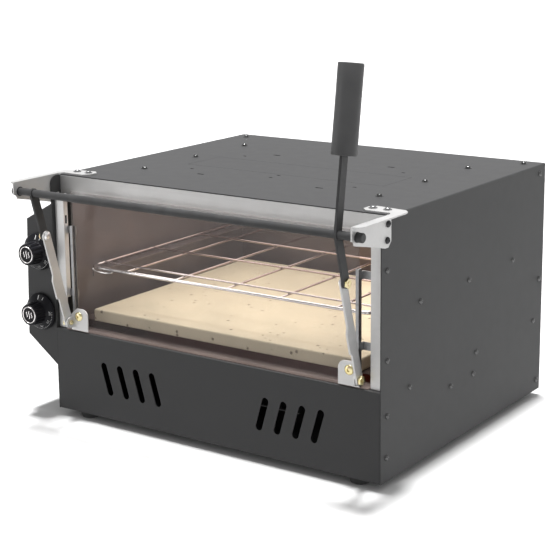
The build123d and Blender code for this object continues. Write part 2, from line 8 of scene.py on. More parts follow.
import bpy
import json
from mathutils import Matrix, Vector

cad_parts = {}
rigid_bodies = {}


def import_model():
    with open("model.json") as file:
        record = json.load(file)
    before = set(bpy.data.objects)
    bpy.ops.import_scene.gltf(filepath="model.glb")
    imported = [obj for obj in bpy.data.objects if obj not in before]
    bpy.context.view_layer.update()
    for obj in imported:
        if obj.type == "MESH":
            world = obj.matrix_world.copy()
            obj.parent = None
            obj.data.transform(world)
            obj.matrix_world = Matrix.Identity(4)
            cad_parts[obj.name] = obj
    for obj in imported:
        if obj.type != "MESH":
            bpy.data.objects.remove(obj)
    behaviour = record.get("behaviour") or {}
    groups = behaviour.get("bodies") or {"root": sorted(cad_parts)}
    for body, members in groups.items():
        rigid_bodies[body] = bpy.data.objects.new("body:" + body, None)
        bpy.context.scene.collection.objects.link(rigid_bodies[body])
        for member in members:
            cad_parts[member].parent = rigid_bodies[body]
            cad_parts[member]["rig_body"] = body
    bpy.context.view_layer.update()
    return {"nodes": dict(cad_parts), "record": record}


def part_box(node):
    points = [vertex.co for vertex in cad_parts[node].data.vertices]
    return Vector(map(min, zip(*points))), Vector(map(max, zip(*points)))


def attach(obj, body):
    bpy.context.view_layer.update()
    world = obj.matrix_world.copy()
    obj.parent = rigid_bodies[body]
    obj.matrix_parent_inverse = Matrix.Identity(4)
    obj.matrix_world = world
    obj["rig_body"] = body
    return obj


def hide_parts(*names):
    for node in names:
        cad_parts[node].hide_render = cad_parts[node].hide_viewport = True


bl_info = {
    "name": "Countertop pizza oven",
    "version": (1, 0, 0),
    "blender": (4, 5, 0),
    "location": "View3D > Sidebar > Oven",
    "description": "Makes the fine pieces, finishes and studio of a countertop pizza oven",
    "category": "Object",
}

import json
from math import cos, pi, radians, sin

import bmesh
import bpy
import numpy as np
from bpy.props import FloatProperty, FloatVectorProperty, IntProperty, PointerProperty
from mathutils import Matrix

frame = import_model()

MM = 0.001


# ---------------------------------------------------------------- settings


def colour_setting(name, description, default):
    return FloatVectorProperty(
        name=name, description=description, default=default, subtype="COLOR", min=0.0, max=1.0
    )


def length_setting(name, description, default):
    return FloatProperty(
        name=name, description=description, default=default, subtype="DISTANCE", unit="LENGTH", min=0.0
    )


def power_setting(name, description, default):
    return FloatProperty(name=name, description=description, default=default, unit="POWER", min=0.0)


class OvenFinishes(bpy.types.PropertyGroup):
    """Colours of the oven's finishes."""

    charcoal: colour_setting("Charcoal paint", "Powder coat of the casing", (0.047, 0.047, 0.048))
    light: colour_setting("Light metal", "Satin metal of the frame, brackets and links", (0.57, 0.565, 0.56))
    dark: colour_setting("Dark steel", "Blackened steel of the shaft and arms", (0.046, 0.046, 0.047))
    grip: colour_setting("Grip", "Moulded handle grip", (0.066, 0.066, 0.067))
    liner: colour_setting("Chamber steel", "Heat-dulled steel of the chamber", (0.118, 0.088, 0.081))
    stone: colour_setting("Stone", "Fired clay of the baking stone", (0.77, 0.685, 0.51))
    # Painted reflection: this warm colour is laid over the door glass in place of its reflection.
    reflection_haze: colour_setting("Glass haze", "Warm film that the door glass shows", (0.38, 0.335, 0.325))
    glow: colour_setting("Heater glow", "Colour of the hot heater spirals", (1.0, 0.17, 0.09))


class OvenSizes(bpy.types.PropertyGroup):
    """Sizes of the fine pieces."""

    flutes: IntProperty(name="Flutes", description="Grip flutes round each knob", default=14, min=3)
    flute_depth: length_setting("Flute depth", "How deep each knob flute is cut", 1.3 * MM)
    numeral: length_setting("Numeral height", "Height of the numerals on the dials", 4.6 * MM)
    pitch: length_setting("Thread pitch", "Pitch of the bolt threads", 1.0 * MM)
    spiral: length_setting("Heater spiral pitch", "Pitch of the wire round each heater rod", 8.0 * MM)


class OvenStudio(bpy.types.PropertyGroup):
    """Camera, light and floor."""

    lens: FloatProperty(name="Lens", description="Focal length", default=94.79, unit="CAMERA", min=1.0)
    eye: FloatVectorProperty(
        name="Eye", description="Place of the camera", default=(1.3508, -1.9359, 0.8178),
        subtype="TRANSLATION", unit="LENGTH",
    )
    turn: FloatProperty(
        name="Turn", description="Camera turn about the upright", default=0.609, unit="ROTATION"
    )
    tilt: FloatProperty(name="Tilt", description="Camera tilt below level", default=0.218, unit="ROTATION")
    roll: FloatProperty(name="Roll", description="Camera roll", default=-0.010, unit="ROTATION")
    rise: FloatProperty(name="Rise", description="Upward shift of the view", default=-0.0804)
    key: FloatProperty(name="Key", description="Strength of the overhead key light", default=5.4, min=0.0)
    sky: FloatProperty(name="Sky", description="Brightness of the surround", default=0.62, min=0.0)
    chamber: power_setting("Chamber lamp", "Power of the lamp under the chamber's ceiling", 1.9)
    door: power_setting("Door lamp", "Power of the lamp above the door", 0.15)
    strip: power_setting("Strip", "Power of the tall strip light", 7.0)
    floor: colour_setting("Floor", "Plain pale floor", (0.64, 0.64, 0.64))


def settings():
    """The finishes, sizes and studio settings of the current scene."""
    scene = bpy.context.scene
    return scene.oven_finishes, scene.oven_sizes, scene.oven_studio


# ---------------------------------------------------------------- shader helpers


class Value:
    """A shader socket that Python arithmetic works on. Each operation adds one Math node."""

    def __init__(self, finish, socket):
        self.finish = finish
        self.socket = socket

    def math(self, operation, *terms):
        return self.finish.node("ShaderNodeMath", {"operation": operation}, dict(enumerate(terms)))

    def __add__(self, other):
        return self.math("ADD", self, other)

    def __radd__(self, other):
        return self.math("ADD", other, self)

    def __sub__(self, other):
        return self.math("SUBTRACT", self, other)

    def __rsub__(self, other):
        return self.math("SUBTRACT", other, self)

    def __mul__(self, other):
        return self.math("MULTIPLY", self, other)

    def __rmul__(self, other):
        return self.math("MULTIPLY", other, self)

    def __gt__(self, other):
        return self.math("GREATER_THAN", self, other)


class Finish:
    """One material, or the surround, while its nodes are added."""

    def __init__(self, holder, coordinates="Object"):
        self.holder = holder
        self.holder.use_nodes = True
        self.tree = self.holder.node_tree
        self.tree.nodes.clear()
        self.place = self.node("ShaderNodeTexCoord", output=coordinates)

    def node(self, kind, given=None, inputs=None, output=0):
        """Add a node: first its settings, with a ramp's stops under "stops", then its sockets."""
        made = self.tree.nodes.new(kind)
        for key, value in (given or {}).items():
            if key == "stops":
                ramp = made.color_ramp
                for at, colour in value:
                    stop = ramp.elements.new(at)
                    stop.color = (*colour, 1.0)
                ramp.elements.remove(ramp.elements[-1])
                ramp.elements.remove(ramp.elements[0])
            else:
                setattr(made, key, value)
        for key, value in (inputs or {}).items():
            socket = made.inputs[key]
            if isinstance(value, Value):
                self.tree.links.new(value.socket, socket)
            elif socket.type == "RGBA" and len(value) == 3:
                socket.default_value = (*value, 1.0)
            else:
                socket.default_value = value
        return Value(self, made.outputs[output]) if made.outputs else None

    def noise(self, scale, detail=3.0, stretch=(1.0, 1.0, 1.0)):
        """Smooth noise from 0 to 1 with about scale features per metre, stretched by axis."""
        where = self.node("ShaderNodeMapping", None, {"Vector": self.place, "Scale": stretch})
        return self.node("ShaderNodeTexNoise", None, {"Vector": where, "Scale": scale, "Detail": detail})

    def cells(self, scale):
        """Distance to the nearest of about scale random points per metre."""
        return self.node("ShaderNodeTexVoronoi", None, {"Vector": self.place, "Scale": scale})

    def span(self, value, low, high, start=0.0, end=1.0):
        """value moved from the range low..high to start..end and held there."""
        sockets = {"Value": value, "From Min": low, "From Max": high, "To Min": start, "To Max": end}
        return self.node("ShaderNodeMapRange", {"clamp": True}, sockets)

    def height(self, axis=2):
        """One coordinate of the place, in metres."""
        return self.node("ShaderNodeSeparateXYZ", None, {0: self.place}, output=axis)

    def mix(self, share, first, second):
        """Colour first where share is 0 and second where it is 1."""
        given = {"data_type": "RGBA", "clamp_factor": True}
        return self.node("ShaderNodeMix", given, {0: share, 6: first, 7: second}, output=2)

    def bump(self, rise, depth, under=None):
        """Normal of a surface that rises by depth metres where rise is 1, over an optional normal."""
        sockets = {"Height": rise, "Distance": depth, "Strength": 1.0}
        if under is not None:
            sockets["Normal"] = under
        return self.node("ShaderNodeBump", None, sockets)

    def round_edges(self, radius):
        """Normal that turns smoothly over sharp edges within radius."""
        return self.node("ShaderNodeBevel", {"samples": 4}, {"Radius": radius})

    def surface(self, sockets):
        """Finish with a Principled shader and return the material."""
        shader = self.node("ShaderNodeBsdfPrincipled", None, sockets)
        self.node("ShaderNodeOutputMaterial", None, {"Surface": shader})
        return self.holder


def new_finish(name):
    """An empty material, ready for its nodes."""
    return Finish(bpy.data.materials.new(name))


def shade(colour, factor):
    """A colour made lighter or darker."""
    return tuple(min(1.0, c * factor) for c in colour)


# ---------------------------------------------------------------- finishes


def charcoal_paint():
    """Powder coat: charcoal with fine orange peel, faint clouds and a few rubbed spots."""
    f = new_finish("charcoal_paint")
    colour = settings()[0].charcoal
    cloud = f.noise(7.0, 4.0)
    grain = f.noise(1500.0, 2.0)
    base = f.mix(f.span(cloud, 0.3, 0.7), shade(colour, 0.94), shade(colour, 1.06))
    base = f.mix(f.span(grain, 0.35, 0.75, 0.0, 0.35), base, shade(colour, 1.35))
    normal = f.bump(f.noise(700.0, 2.0), 0.05 * MM, f.round_edges(0.7 * MM))
    rough = 0.43 + 0.09 * cloud + 0.07 * f.noise(45.0, 3.0)
    sockets = {"Base Color": base, "Roughness": rough, "Specular IOR Level": 0.25}
    return f.surface({**sockets, "Normal": normal})


def light_paint():
    """Satin light metal: long faint brush lines, soft blotches and brighter cut edges."""
    f = new_finish("light_paint")
    colour = settings()[0].light
    blotch = f.noise(22.0, 3.0)
    brush = f.noise(260.0, 3.0, (0.06, 1.0, 1.0))
    base = f.mix(f.span(blotch, 0.3, 0.7), shade(colour, 0.95), shade(colour, 1.05))
    base = f.mix(f.span(brush, 0.3, 0.8, 0.0, 0.25), base, shade(colour, 0.88))
    normal = f.bump(brush, 0.012 * MM, f.round_edges(0.5 * MM))
    rough = 0.34 + 0.10 * blotch + 0.06 * brush
    return f.surface({"Base Color": base, "Metallic": 0.5, "Roughness": rough, "Normal": normal})


def dark_steel():
    """Blackened bar steel: faint lengthwise draw lines and slightly rubbed patches."""
    f = new_finish("dark_steel")
    colour = settings()[0].dark
    rub = f.noise(38.0, 4.0)
    lines = f.noise(900.0, 2.0, (1.0, 1.0, 0.12))
    base = f.mix(f.span(rub, 0.45, 0.8), colour, shade(colour, 1.5))
    normal = f.bump(lines, 0.015 * MM, f.round_edges(0.5 * MM))
    rough = 0.40 + 0.14 * rub
    sockets = {"Base Color": base, "Roughness": rough, "Specular IOR Level": 0.22}
    return f.surface({**sockets, "Normal": normal})


def grip_plastic():
    """Moulded phenolic grip: fine matte texture and hand-polished bands."""
    f = new_finish("grip_plastic")
    colour = settings()[0].grip
    worn = f.noise(30.0, 3.0)
    grain = f.noise(2200.0, 2.0)
    base = f.mix(f.span(worn, 0.4, 0.7), shade(colour, 0.95), shade(colour, 1.08))
    rough = 0.52 - 0.12 * worn + 0.06 * grain
    sockets = {"Base Color": base, "Roughness": rough, "Specular IOR Level": 0.35}
    return f.surface({**sockets, "Normal": f.bump(grain, 0.03 * MM)})


def plated(name, colours, spread, rough):
    """Plated steel: a passivated colour that drifts over the piece between three tints."""
    f = new_finish(name)
    drift = f.noise(spread, 3.0)
    stops = [(0.30, colours[0]), (0.52, colours[1]), (0.74, colours[2])]
    base = f.node("ShaderNodeValToRGB", {"stops": stops}, {"Fac": drift})
    fine = f.noise(1800.0, 2.0)
    roughness = rough + 0.10 * fine
    sockets = {"Base Color": base, "Metallic": 0.92, "Roughness": roughness}
    return f.surface({**sockets, "Normal": f.bump(fine, 0.01 * MM)})


def yellow_zinc():
    """Yellow chromate plating with green and rose tints."""
    tints = [(0.62, 0.50, 0.22), (0.68, 0.62, 0.36), (0.66, 0.44, 0.28)]
    return plated("yellow_zinc", tints, 160.0, 0.20)


def bright_zinc():
    """Clear zinc plating with a faint blue tint."""
    tints = [(0.72, 0.73, 0.76), (0.80, 0.80, 0.80), (0.78, 0.76, 0.80)]
    return plated("bright_zinc", tints, 120.0, 0.24)


def grey_zinc():
    """Dull zinc-flake coating on the screws of the bracket tabs."""
    return plated("grey_zinc", [(0.20, 0.20, 0.21), (0.26, 0.26, 0.26), (0.23, 0.23, 0.24)], 140.0, 0.34)


def burnished():
    """Dark plated heads of the casing's screws and rivets."""
    return plated("burnished", [(0.075, 0.075, 0.075), (0.11, 0.11, 0.11), (0.09, 0.09, 0.09)], 140.0, 0.22)


def chrome():
    """Bright chromed wire, painted darker and browner away from the front as shade inside the chamber."""
    f = new_finish("chrome")
    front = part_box("wire_rack")[0].y
    # Painted shade: past the front bar the wire turns dark brown, standing in for the chamber's shade on it.
    painted_inner_shade = f.span(f.height(1), front + 8 * MM, front + 60 * MM, 0.0, 0.8) + 0.2 * f.noise(26.0, 3.0)
    base = f.mix(painted_inner_shade, (0.84, 0.82, 0.82), (0.40, 0.30, 0.275))
    fine = f.noise(1200.0, 2.0)
    rough = 0.10 + 0.10 * fine
    sockets = {"Base Color": base, "Metallic": 0.95, "Roughness": rough}
    return f.surface({**sockets, "Normal": f.bump(fine, 0.008 * MM)})


def black_screws():
    """Black oxide fastener steel with worn, slightly brighter grains."""
    f = new_finish("black_screws")
    worn = f.noise(600.0, 3.0)
    base = f.mix(f.span(worn, 0.5, 0.8), (0.022, 0.022, 0.024), (0.075, 0.075, 0.08))
    rough = 0.32 + 0.14 * worn
    return f.surface({"Base Color": base, "Metallic": 0.4, "Roughness": rough})


def chamber_steel():
    """Chamber lining: steel dulled by heating, with straw and rose bloom and darker soot stains."""
    f = new_finish("chamber_steel")
    colour = settings()[0].liner
    bloom = f.noise(9.0, 4.0)
    stain = f.noise(34.0, 5.0)
    base = f.mix(f.span(bloom, 0.35, 0.7), shade(colour, 0.85), (0.165, 0.128, 0.118))
    base = f.mix(f.span(stain, 0.45, 0.85, 0.0, 0.5), base, (0.09, 0.078, 0.074))
    brush = f.noise(420.0, 2.0, (1.0, 1.0, 0.08))
    rough = 0.34 + 0.20 * stain
    sockets = {"Base Color": base, "Metallic": 0.45, "Roughness": rough}
    return f.surface({**sockets, "Normal": f.bump(brush, 0.02 * MM)})


def heater_steel():
    """Heater rod: dull oxidised sheath whose spiral glows faintly red."""
    f = new_finish("element_steel")
    finishes = settings()[0]
    patch = f.noise(70.0, 3.0)
    base = f.mix(patch, (0.14, 0.12, 0.115), (0.26, 0.21, 0.19))
    glow = f.mix(f.span(patch, 0.3, 0.7), shade(finishes.glow, 0.55), finishes.glow)
    sockets = {"Base Color": base, "Metallic": 0.5, "Roughness": 0.5 + 0.2 * patch}
    return f.surface({**sockets, "Emission Color": glow, "Emission Strength": 0.3})


def ceramic():
    """White steatite beads with a fine cast grain."""
    f = new_finish("ceramic")
    grain = f.noise(900.0, 3.0)
    base = f.mix(f.span(f.noise(60.0), 0.4, 0.7), (0.74, 0.71, 0.65), (0.64, 0.58, 0.50))
    sockets = {"Base Color": base, "Roughness": 0.45 + 0.2 * grain}
    return f.surface({**sockets, "Normal": f.bump(grain, 0.05 * MM)})


def stone_clay():
    """Fired clay: sandy grain, scattered pits darkened with painted shade, and a few toasted patches."""
    f = new_finish("stone")
    colour = settings()[0].stone
    sand = f.noise(900.0, 4.0)
    patch = f.noise(11.0, 4.0)
    pore_pits_and_shade = f.span(f.cells(60.0), 0.10, 0.20, 1.0, 0.0) * (f.noise(40.0) > 0.50)
    flecks = f.span(f.cells(420.0), 0.10, 0.28, 1.0, 0.0)
    base = f.mix(f.span(patch, 0.35, 0.75, 0.0, 0.8), colour, shade(colour, 0.82))
    base = f.mix(f.span(sand, 0.3, 0.75, 0.0, 0.5), base, shade(colour, 1.18))
    base = f.mix(0.45 * flecks, base, (0.40, 0.33, 0.24))
    # Painted shade: the pits are darkened to stand in for the shade inside them; the same mask also sinks
    # them in the bump.
    base = f.mix(0.85 * pore_pits_and_shade, base, (0.22, 0.18, 0.13))
    rise = 0.5 * sand - 1.2 * pore_pits_and_shade
    sockets = {"Base Color": base, "Roughness": 0.82 + 0.12 * sand}
    return f.surface({**sockets, "Normal": f.bump(rise, 0.35 * MM)})


def wool():
    """Heat-proof wool, coloured dark grey as painted shade where it shows through openings in the casing:
    fibres in loose layers.
    """
    f = new_finish("wool")
    fibres = f.noise(700.0, 5.0, (0.15, 1.0, 1.0))
    # Painted shade: near-black fibre colours stand in for the shade over the wool inside the casing.
    base = f.mix(fibres, (0.030, 0.028, 0.026), (0.060, 0.056, 0.050))
    return f.surface({"Base Color": base, "Roughness": 0.95, "Normal": f.bump(fibres, 1.0 * MM)})


def clear_glass():
    """Toughened door glass: clear, with a warm see-through layer of painted reflection that thickens towards
    the top, and faint smears.
    """
    f = new_finish("clear_glass")
    colour = settings()[0].reflection_haze
    low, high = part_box("door_glass")
    smear = f.noise(13.0, 4.0)
    # Painted reflection: the warm layer grows more opaque with height, standing in for the glass's
    # reflection near the top; the smear noise adds faint random smudges.
    reflection_layer = f.span(f.height(), low.z, high.z, 0.10, 0.25) + f.span(smear, 0.45, 0.8, 0.0, 0.04)
    base = f.mix(smear, shade(colour, 0.92), shade(colour, 1.08))
    sockets = {"Base Color": base, "Roughness": 0.04, "Alpha": reflection_layer, "IOR": 1.5}
    return f.surface(sockets)


def knob_plastic():
    """Black thermoset knob: deep gloss with very fine moulding flow."""
    f = new_finish("knob_plastic")
    flow = f.noise(120.0, 3.0)
    base = f.mix(flow, (0.008, 0.008, 0.010), (0.016, 0.016, 0.019))
    return f.surface({"Base Color": base, "Roughness": 0.26 + 0.12 * flow, "Specular IOR Level": 0.10})


def dial_print():
    """White dial print, slightly uneven."""
    f = new_finish("dial_print")
    base = f.mix(f.noise(900.0), (0.86, 0.86, 0.85), (0.97, 0.97, 0.96))
    return f.surface({"Base Color": base, "Roughness": 0.5})


def moulded(name, dark, light, scale, rough, depth):
    """Plain moulded or pressed part: two near shades, a grain and its bump."""
    f = new_finish(name)
    grain = f.noise(scale, 3.0)
    base = f.mix(f.span(grain, 0.3, 0.7), dark, light)
    sockets = {"Base Color": base, "Roughness": rough + 0.1 * grain}
    return f.surface({**sockets, "Normal": f.bump(grain, depth)})


def thermostat_case():
    """Zinc-plated thermostat body."""
    return moulded("thermostat_case", (0.40, 0.40, 0.41), (0.52, 0.52, 0.52), 240.0, 0.35, 0.02 * MM)


def rubber():
    """Black rubber foot."""
    return moulded("rubber", (0.018, 0.018, 0.018), (0.032, 0.032, 0.031), 1100.0, 0.70, 0.06 * MM)


def gland_plastic():
    """Black nylon cable gland."""
    return moulded("gland_plastic", (0.020, 0.020, 0.021), (0.030, 0.030, 0.031), 700.0, 0.42, 0.02 * MM)


MAKERS = {
    "charcoal_paint": charcoal_paint, "light_paint": light_paint, "dark_steel": dark_steel,
    "grip_plastic": grip_plastic, "yellow_zinc": yellow_zinc, "bright_zinc": bright_zinc,
    "black_screws": black_screws, "chamber_steel": chamber_steel, "chrome": chrome,
    "element_steel": heater_steel, "ceramic": ceramic, "stone": stone_clay, "wool": wool,
    "clear_glass": clear_glass, "knob_plastic": knob_plastic, "thermostat_case": thermostat_case,
    "rubber": rubber, "gland_plastic": gland_plastic, "dial_print": dial_print, "grey_zinc": grey_zinc,
    "burnished": burnished,
}
made_finishes = {}


def finish(name):
    """The material of that name, made on its first use."""
    if name not in made_finishes:
        made_finishes[name] = MAKERS[name]()
    return made_finishes[name]


# ---------------------------------------------------------------- surfaces


def across(axis):
    """Rows u, v and w: w is the axis and u, v are two unit directions across it."""
    w = np.array(axis, float)
    other = (0.0, 0.0, 1.0) if abs(w[2]) < 0.9 else (1.0, 0.0, 0.0)
    u = np.cross(w, other)
    u /= np.linalg.norm(u)
    return np.stack((u, np.cross(w, u), w))


def grid_faces(rows, columns, round_columns=True, round_rows=False):
    """Four-sided faces of a grid of rows by columns points, closed round either way if asked."""
    i = np.arange(rows if round_rows else rows - 1)[:, None]
    j = np.arange(columns if round_columns else columns - 1)[None, :]
    next_i = (i + 1) % rows
    next_j = (j + 1) % columns
    corners = (i * columns + j, i * columns + next_j, next_i * columns + next_j, next_i * columns + j)
    return np.stack(np.broadcast_arrays(*corners), -1).reshape(-1, 4)


def turned(profile, turns=40, flutes=(0, 0.0), cross=(0.0, 0.0, 0.0)):
    """Profile carried round its axis.

    A profile row is (along, radius, flat, fluted). At angle a the radius is the smaller of radius
    and flat / cos(a folded to a sixth turn), which cuts six flats where flat isn't 0, less the
    flute depth times (half + half cos(count a)) squared where fluted is 1. cross is (half width,
    half length, depth) of a cross-shaped recess pressed into the rows whose flat is -1.
    """
    rows = np.array([(*row, 0.0, 0.0)[:4] for row in profile], float)
    along, radius, flat, fluted = (rows[:, k, None] for k in range(4))
    angle = np.linspace(0.0, 2 * pi, turns, endpoint=False)[None, :]
    folded = (angle + pi / 6) % (pi / 3) - pi / 6
    hexed = np.where(flat > 0, np.abs(flat) / np.cos(folded), np.inf)
    lobe = (0.5 + 0.5 * np.cos(flutes[0] * angle)) ** 2
    r = np.minimum(radius + 0 * angle, hexed) - fluted * flutes[1] * lobe
    x = r * np.cos(angle)
    y = r * np.sin(angle)
    half_width, half_length, depth = cross
    if depth:
        arm_x = (np.abs(y) < half_width) & (np.abs(x) < half_length)
        arm_y = (np.abs(x) < half_width) & (np.abs(y) < half_length)
        along = along - depth * ((arm_x | arm_y) & (flat < 0))
    points = np.stack((x, y, along + 0 * x), -1).reshape(-1, 3)
    return points, grid_faces(len(rows), turns)


def threaded(radius, length, pitch, depth, turns=20):
    """Bolt end: at angle a and height z the radius is the root plus depth times a triangle wave of
    z / pitch - a / turn, and it shrinks to nothing at both ends, which closes them."""
    steps = int(length / pitch * 5) + 2
    z = np.linspace(0.0, length, steps)[:, None]
    angle = np.linspace(0.0, 2 * pi, turns, endpoint=False)[None, :]
    wave = 1 - 2 * np.abs((z / pitch - angle / (2 * pi)) % 1.0 - 0.5)
    lead = np.clip((length - z) / pitch, 0.0, 1.0)
    r = (radius - depth + depth * wave) * (0.82 + 0.18 * lead)
    r[[0, -1]] = 0.0
    z = z + 0 * angle
    z[0] = z[1]
    z[-1] = z[-2]
    points = np.stack((r * np.cos(angle), r * np.sin(angle), z), -1).reshape(-1, 3)
    return points, grid_faces(steps, turns)


def tube(path, radius, sides=14, closed=False):
    """Round section carried along a path. At each point the section stands across the path's
    direction: one side points up and the other is direction x up. radius may change along it."""
    path = np.array(path, float)
    if closed:
        along = np.roll(path, -1, 0) - np.roll(path, 1, 0)
    else:
        along = np.gradient(path, axis=0)
    along /= np.linalg.norm(along, axis=1)[:, None]
    up = np.array((0.0, 0.0, 1.0))
    side = np.cross(along, up)
    side /= np.linalg.norm(side, axis=1)[:, None]
    lift = np.cross(side, along)
    angle = np.linspace(0.0, 2 * pi, sides, endpoint=False)[None, :, None]
    r = np.broadcast_to(np.array(radius, float), (len(path),))[:, None, None]
    ring = r * (np.cos(angle) * side[:, None] + np.sin(angle) * lift[:, None])
    points = (path[:, None] + ring).reshape(-1, 3)
    return points, grid_faces(len(path), sides, round_rows=closed)


def bar(start, end, radius, sides=12):
    """Straight round bar with domed ends: near each end the radius follows a quarter circle."""
    start, end = np.array(start, float), np.array(end, float)
    length = np.linalg.norm(end - start)
    inset = radius * (1 - np.cos(np.linspace(0.0, pi / 2, 5)))
    places = np.concatenate((inset, length - inset[::-1]))
    left = np.minimum(places, length - places)
    width = np.sqrt(np.clip(2 * radius * left - left ** 2, 0.0, None))
    width = np.where(left >= radius, radius, width)
    return tube(start + places[:, None] / length * (end - start), width, sides)


def np_mm(profile):
    """Profile rows from millimetres to metres; the fluted share has no unit."""
    return [(row[0] * MM, row[1] * MM, *(v * MM for v in row[2:3]), *row[3:]) for row in profile]


def closed_ends(faces, rows, columns):
    """Grid faces with a four-sided cap on the first and last row of a four-column grid."""
    first = np.arange(columns)[None, :]
    return np.concatenate((faces, first, first + (rows - 1) * columns))


def hex_nut(flat, bore, height):
    """Hex nut in millimetres: the outline is flat / cos(folded angle), cut at both rims by a cone,
    and the hole is a cylinder with a small lead."""
    corner = flat / cos(pi / 6)
    rows = [(0.0, bore), (0.0, flat, flat), (0.5, corner, flat), (height - 0.5, corner, flat)]
    rows += [(height, flat, flat), (height, bore + 0.4), (height - 0.4, bore), (0.0, bore)]
    return turned(np_mm(rows), 72)


def washer(bore, radius, height):
    """Flat ring in millimetres with softened rims."""
    rows = [(0.0, bore), (0.0, radius - 0.2), (0.2, radius), (height - 0.2, radius)]
    rows += [(height, radius - 0.2), (height, bore), (0.0, bore)]
    return turned(np_mm(rows), 48)


def worn_block(low, high, radius, wear, cells):
    """Block with rounded, worn edges.

    A grid runs round the block's girth (x to y) and over it: its rows climb from the middle of the
    underside, out to the wall, up, and back to the middle of the top. Each point p of the sharp
    block moves to c + radius * unit(p - c), where c is p held inside the block by radius, and then
    in towards c by wear times a sum of sines that is largest on the edges.
    """
    half = (high - low) / 2
    centre = (high + low) / 2
    around = np.linspace(0.0, 4.0, 4 * cells, endpoint=False)
    side = np.floor(around).astype(int)
    part = 2 * (around - side) - 1
    ring_x = np.choose(side, (part, np.ones_like(part), -part, -np.ones_like(part)))
    ring_y = np.choose(side, (-np.ones_like(part), part, np.ones_like(part), -part))
    climb = radius / half[0]
    shares = np.concatenate((np.linspace(0.0, 1 - 3 * climb, 24), np.linspace(1 - 2.5 * climb, 1.0, 9)))
    wall = np.linspace(-1.0, 1.0, 17)[1:-1]
    share = np.concatenate((shares, np.ones_like(wall), shares[::-1]))[:, None]
    height = np.concatenate((-np.ones_like(shares), wall, np.ones_like(shares)))[:, None]
    level = height + 0 * ring_x
    p = np.stack((share * ring_x * half[0], share * ring_y * half[1], level * half[2]), -1)
    inner = np.clip(p, -(half - radius), half - radius)
    out = p - inner
    reach = np.linalg.norm(out, axis=-1, keepdims=True)
    unit = out / np.maximum(reach, 1e-9)
    corner = np.clip(reach / radius - 1.0, 0.0, 1.0) / 0.42
    x, y, z = (p[..., k, None] for k in range(3))
    waves = np.sin(311 * x + 90 * y) * np.sin(263 * y - 57 * x + 400 * z) + 0.6 * np.sin(781 * x + 655 * y)
    waves = waves + 0.4 * np.sin(1730 * x - 1491 * y + 900 * z)
    pull = wear * corner * np.clip(waves, 0.0, None)
    moved = inner + unit * (np.minimum(reach, radius) - pull)
    return (moved + centre).reshape(-1, 3), grid_faces(len(share), len(around))


def joined(shapes):
    """Several (points, faces) shapes as one."""
    counts = np.cumsum([0] + [len(points) for points, _ in shapes[:-1]])
    points = np.concatenate([points for points, _ in shapes])
    faces = np.concatenate([faces + start for (_, faces), start in zip(shapes, counts)])
    return points, faces


def placed(shape, centre, axis):
    """A shape made about the origin, with its own axis turned to axis and moved to centre."""
    points, faces = shape
    return points @ across(axis) + np.array(centre, float), faces


def repeated(shape, centres, axis):
    """The same shape at each centre."""
    return joined([placed(shape, centre, axis) for centre in centres])


def add_piece(name, shape, material, body, replaces=(), sharp=32.0):
    """Put a shape in the scene as a smooth closed mesh that rides on a body."""
    points, faces = shape
    mesh = bpy.data.meshes.new(name)
    mesh.from_pydata(points.tolist(), [], faces.tolist())
    work = bmesh.new()
    work.from_mesh(mesh)
    bmesh.ops.remove_doubles(work, verts=work.verts, dist=1e-6)
    bmesh.ops.dissolve_degenerate(work, edges=work.edges, dist=1e-7)
    bmesh.ops.recalc_face_normals(work, faces=work.faces)
    work.to_mesh(mesh)
    work.free()
    mesh.polygons.foreach_set("use_smooth", np.ones(len(mesh.polygons), bool))
    mesh.set_sharp_from_angle(angle=radians(sharp))
    mesh.materials.append(finish(material))
    piece = bpy.data.objects.new(name, mesh)
    bpy.context.scene.collection.objects.link(piece)
    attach(piece, body)
    if replaces:
        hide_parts(*replaces)
    return piece


def middle(node):
    """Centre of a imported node."""
    low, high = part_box(node)
    return (low + high) / 2


def clusters(node):
    """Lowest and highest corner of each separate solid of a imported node.

    Points at one place share a number, and each edge then hands the smaller number of its two ends
    to both until nothing changes, so that every solid ends with a number of its own.
    """
    mesh = frame["nodes"][node].data
    places = np.zeros(len(mesh.vertices) * 3)
    mesh.vertices.foreach_get("co", places)
    places = places.reshape(-1, 3)
    ends = np.zeros(len(mesh.edges) * 2, int)
    mesh.edges.foreach_get("vertices", ends)
    welded = np.unique(places.round(6), axis=0, return_inverse=True)[1].ravel()
    ends = welded[ends].reshape(-1, 2)
    number = np.arange(welded.max() + 1)
    changed = True
    while changed:
        least = number[ends].min(1)
        before = number.copy()
        np.minimum.at(number, ends[:, 0], least)
        np.minimum.at(number, ends[:, 1], least)
        number = number[number]
        changed = (number != before).any()
    owner = number[welded]
    return [(places[owner == one].min(0), places[owner == one].max(0)) for one in np.unique(owner)]


# ---------------------------------------------------------------- operators


class OVEN_OT_finishes(bpy.types.Operator):
    """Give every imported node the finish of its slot, and the glass rails a dull plating."""

    bl_idname = "oven.finishes"
    bl_label = "Finishes"

    def execute(self, context):
        for entry in frame["record"]["materials"]:
            if entry["slot"] not in MAKERS:
                raise RuntimeError(f"no finish is made for slot {entry['slot']}")
        for node in frame["nodes"].values():
            for held in node.material_slots:
                held.material = finish(held.material.name.split(".")[0])
        for side in ("left", "right"):
            for held in frame["nodes"][f"glass_rail_{side}"].material_slots:
                held.material = finish("grey_zinc")
        return {"FINISHED"}


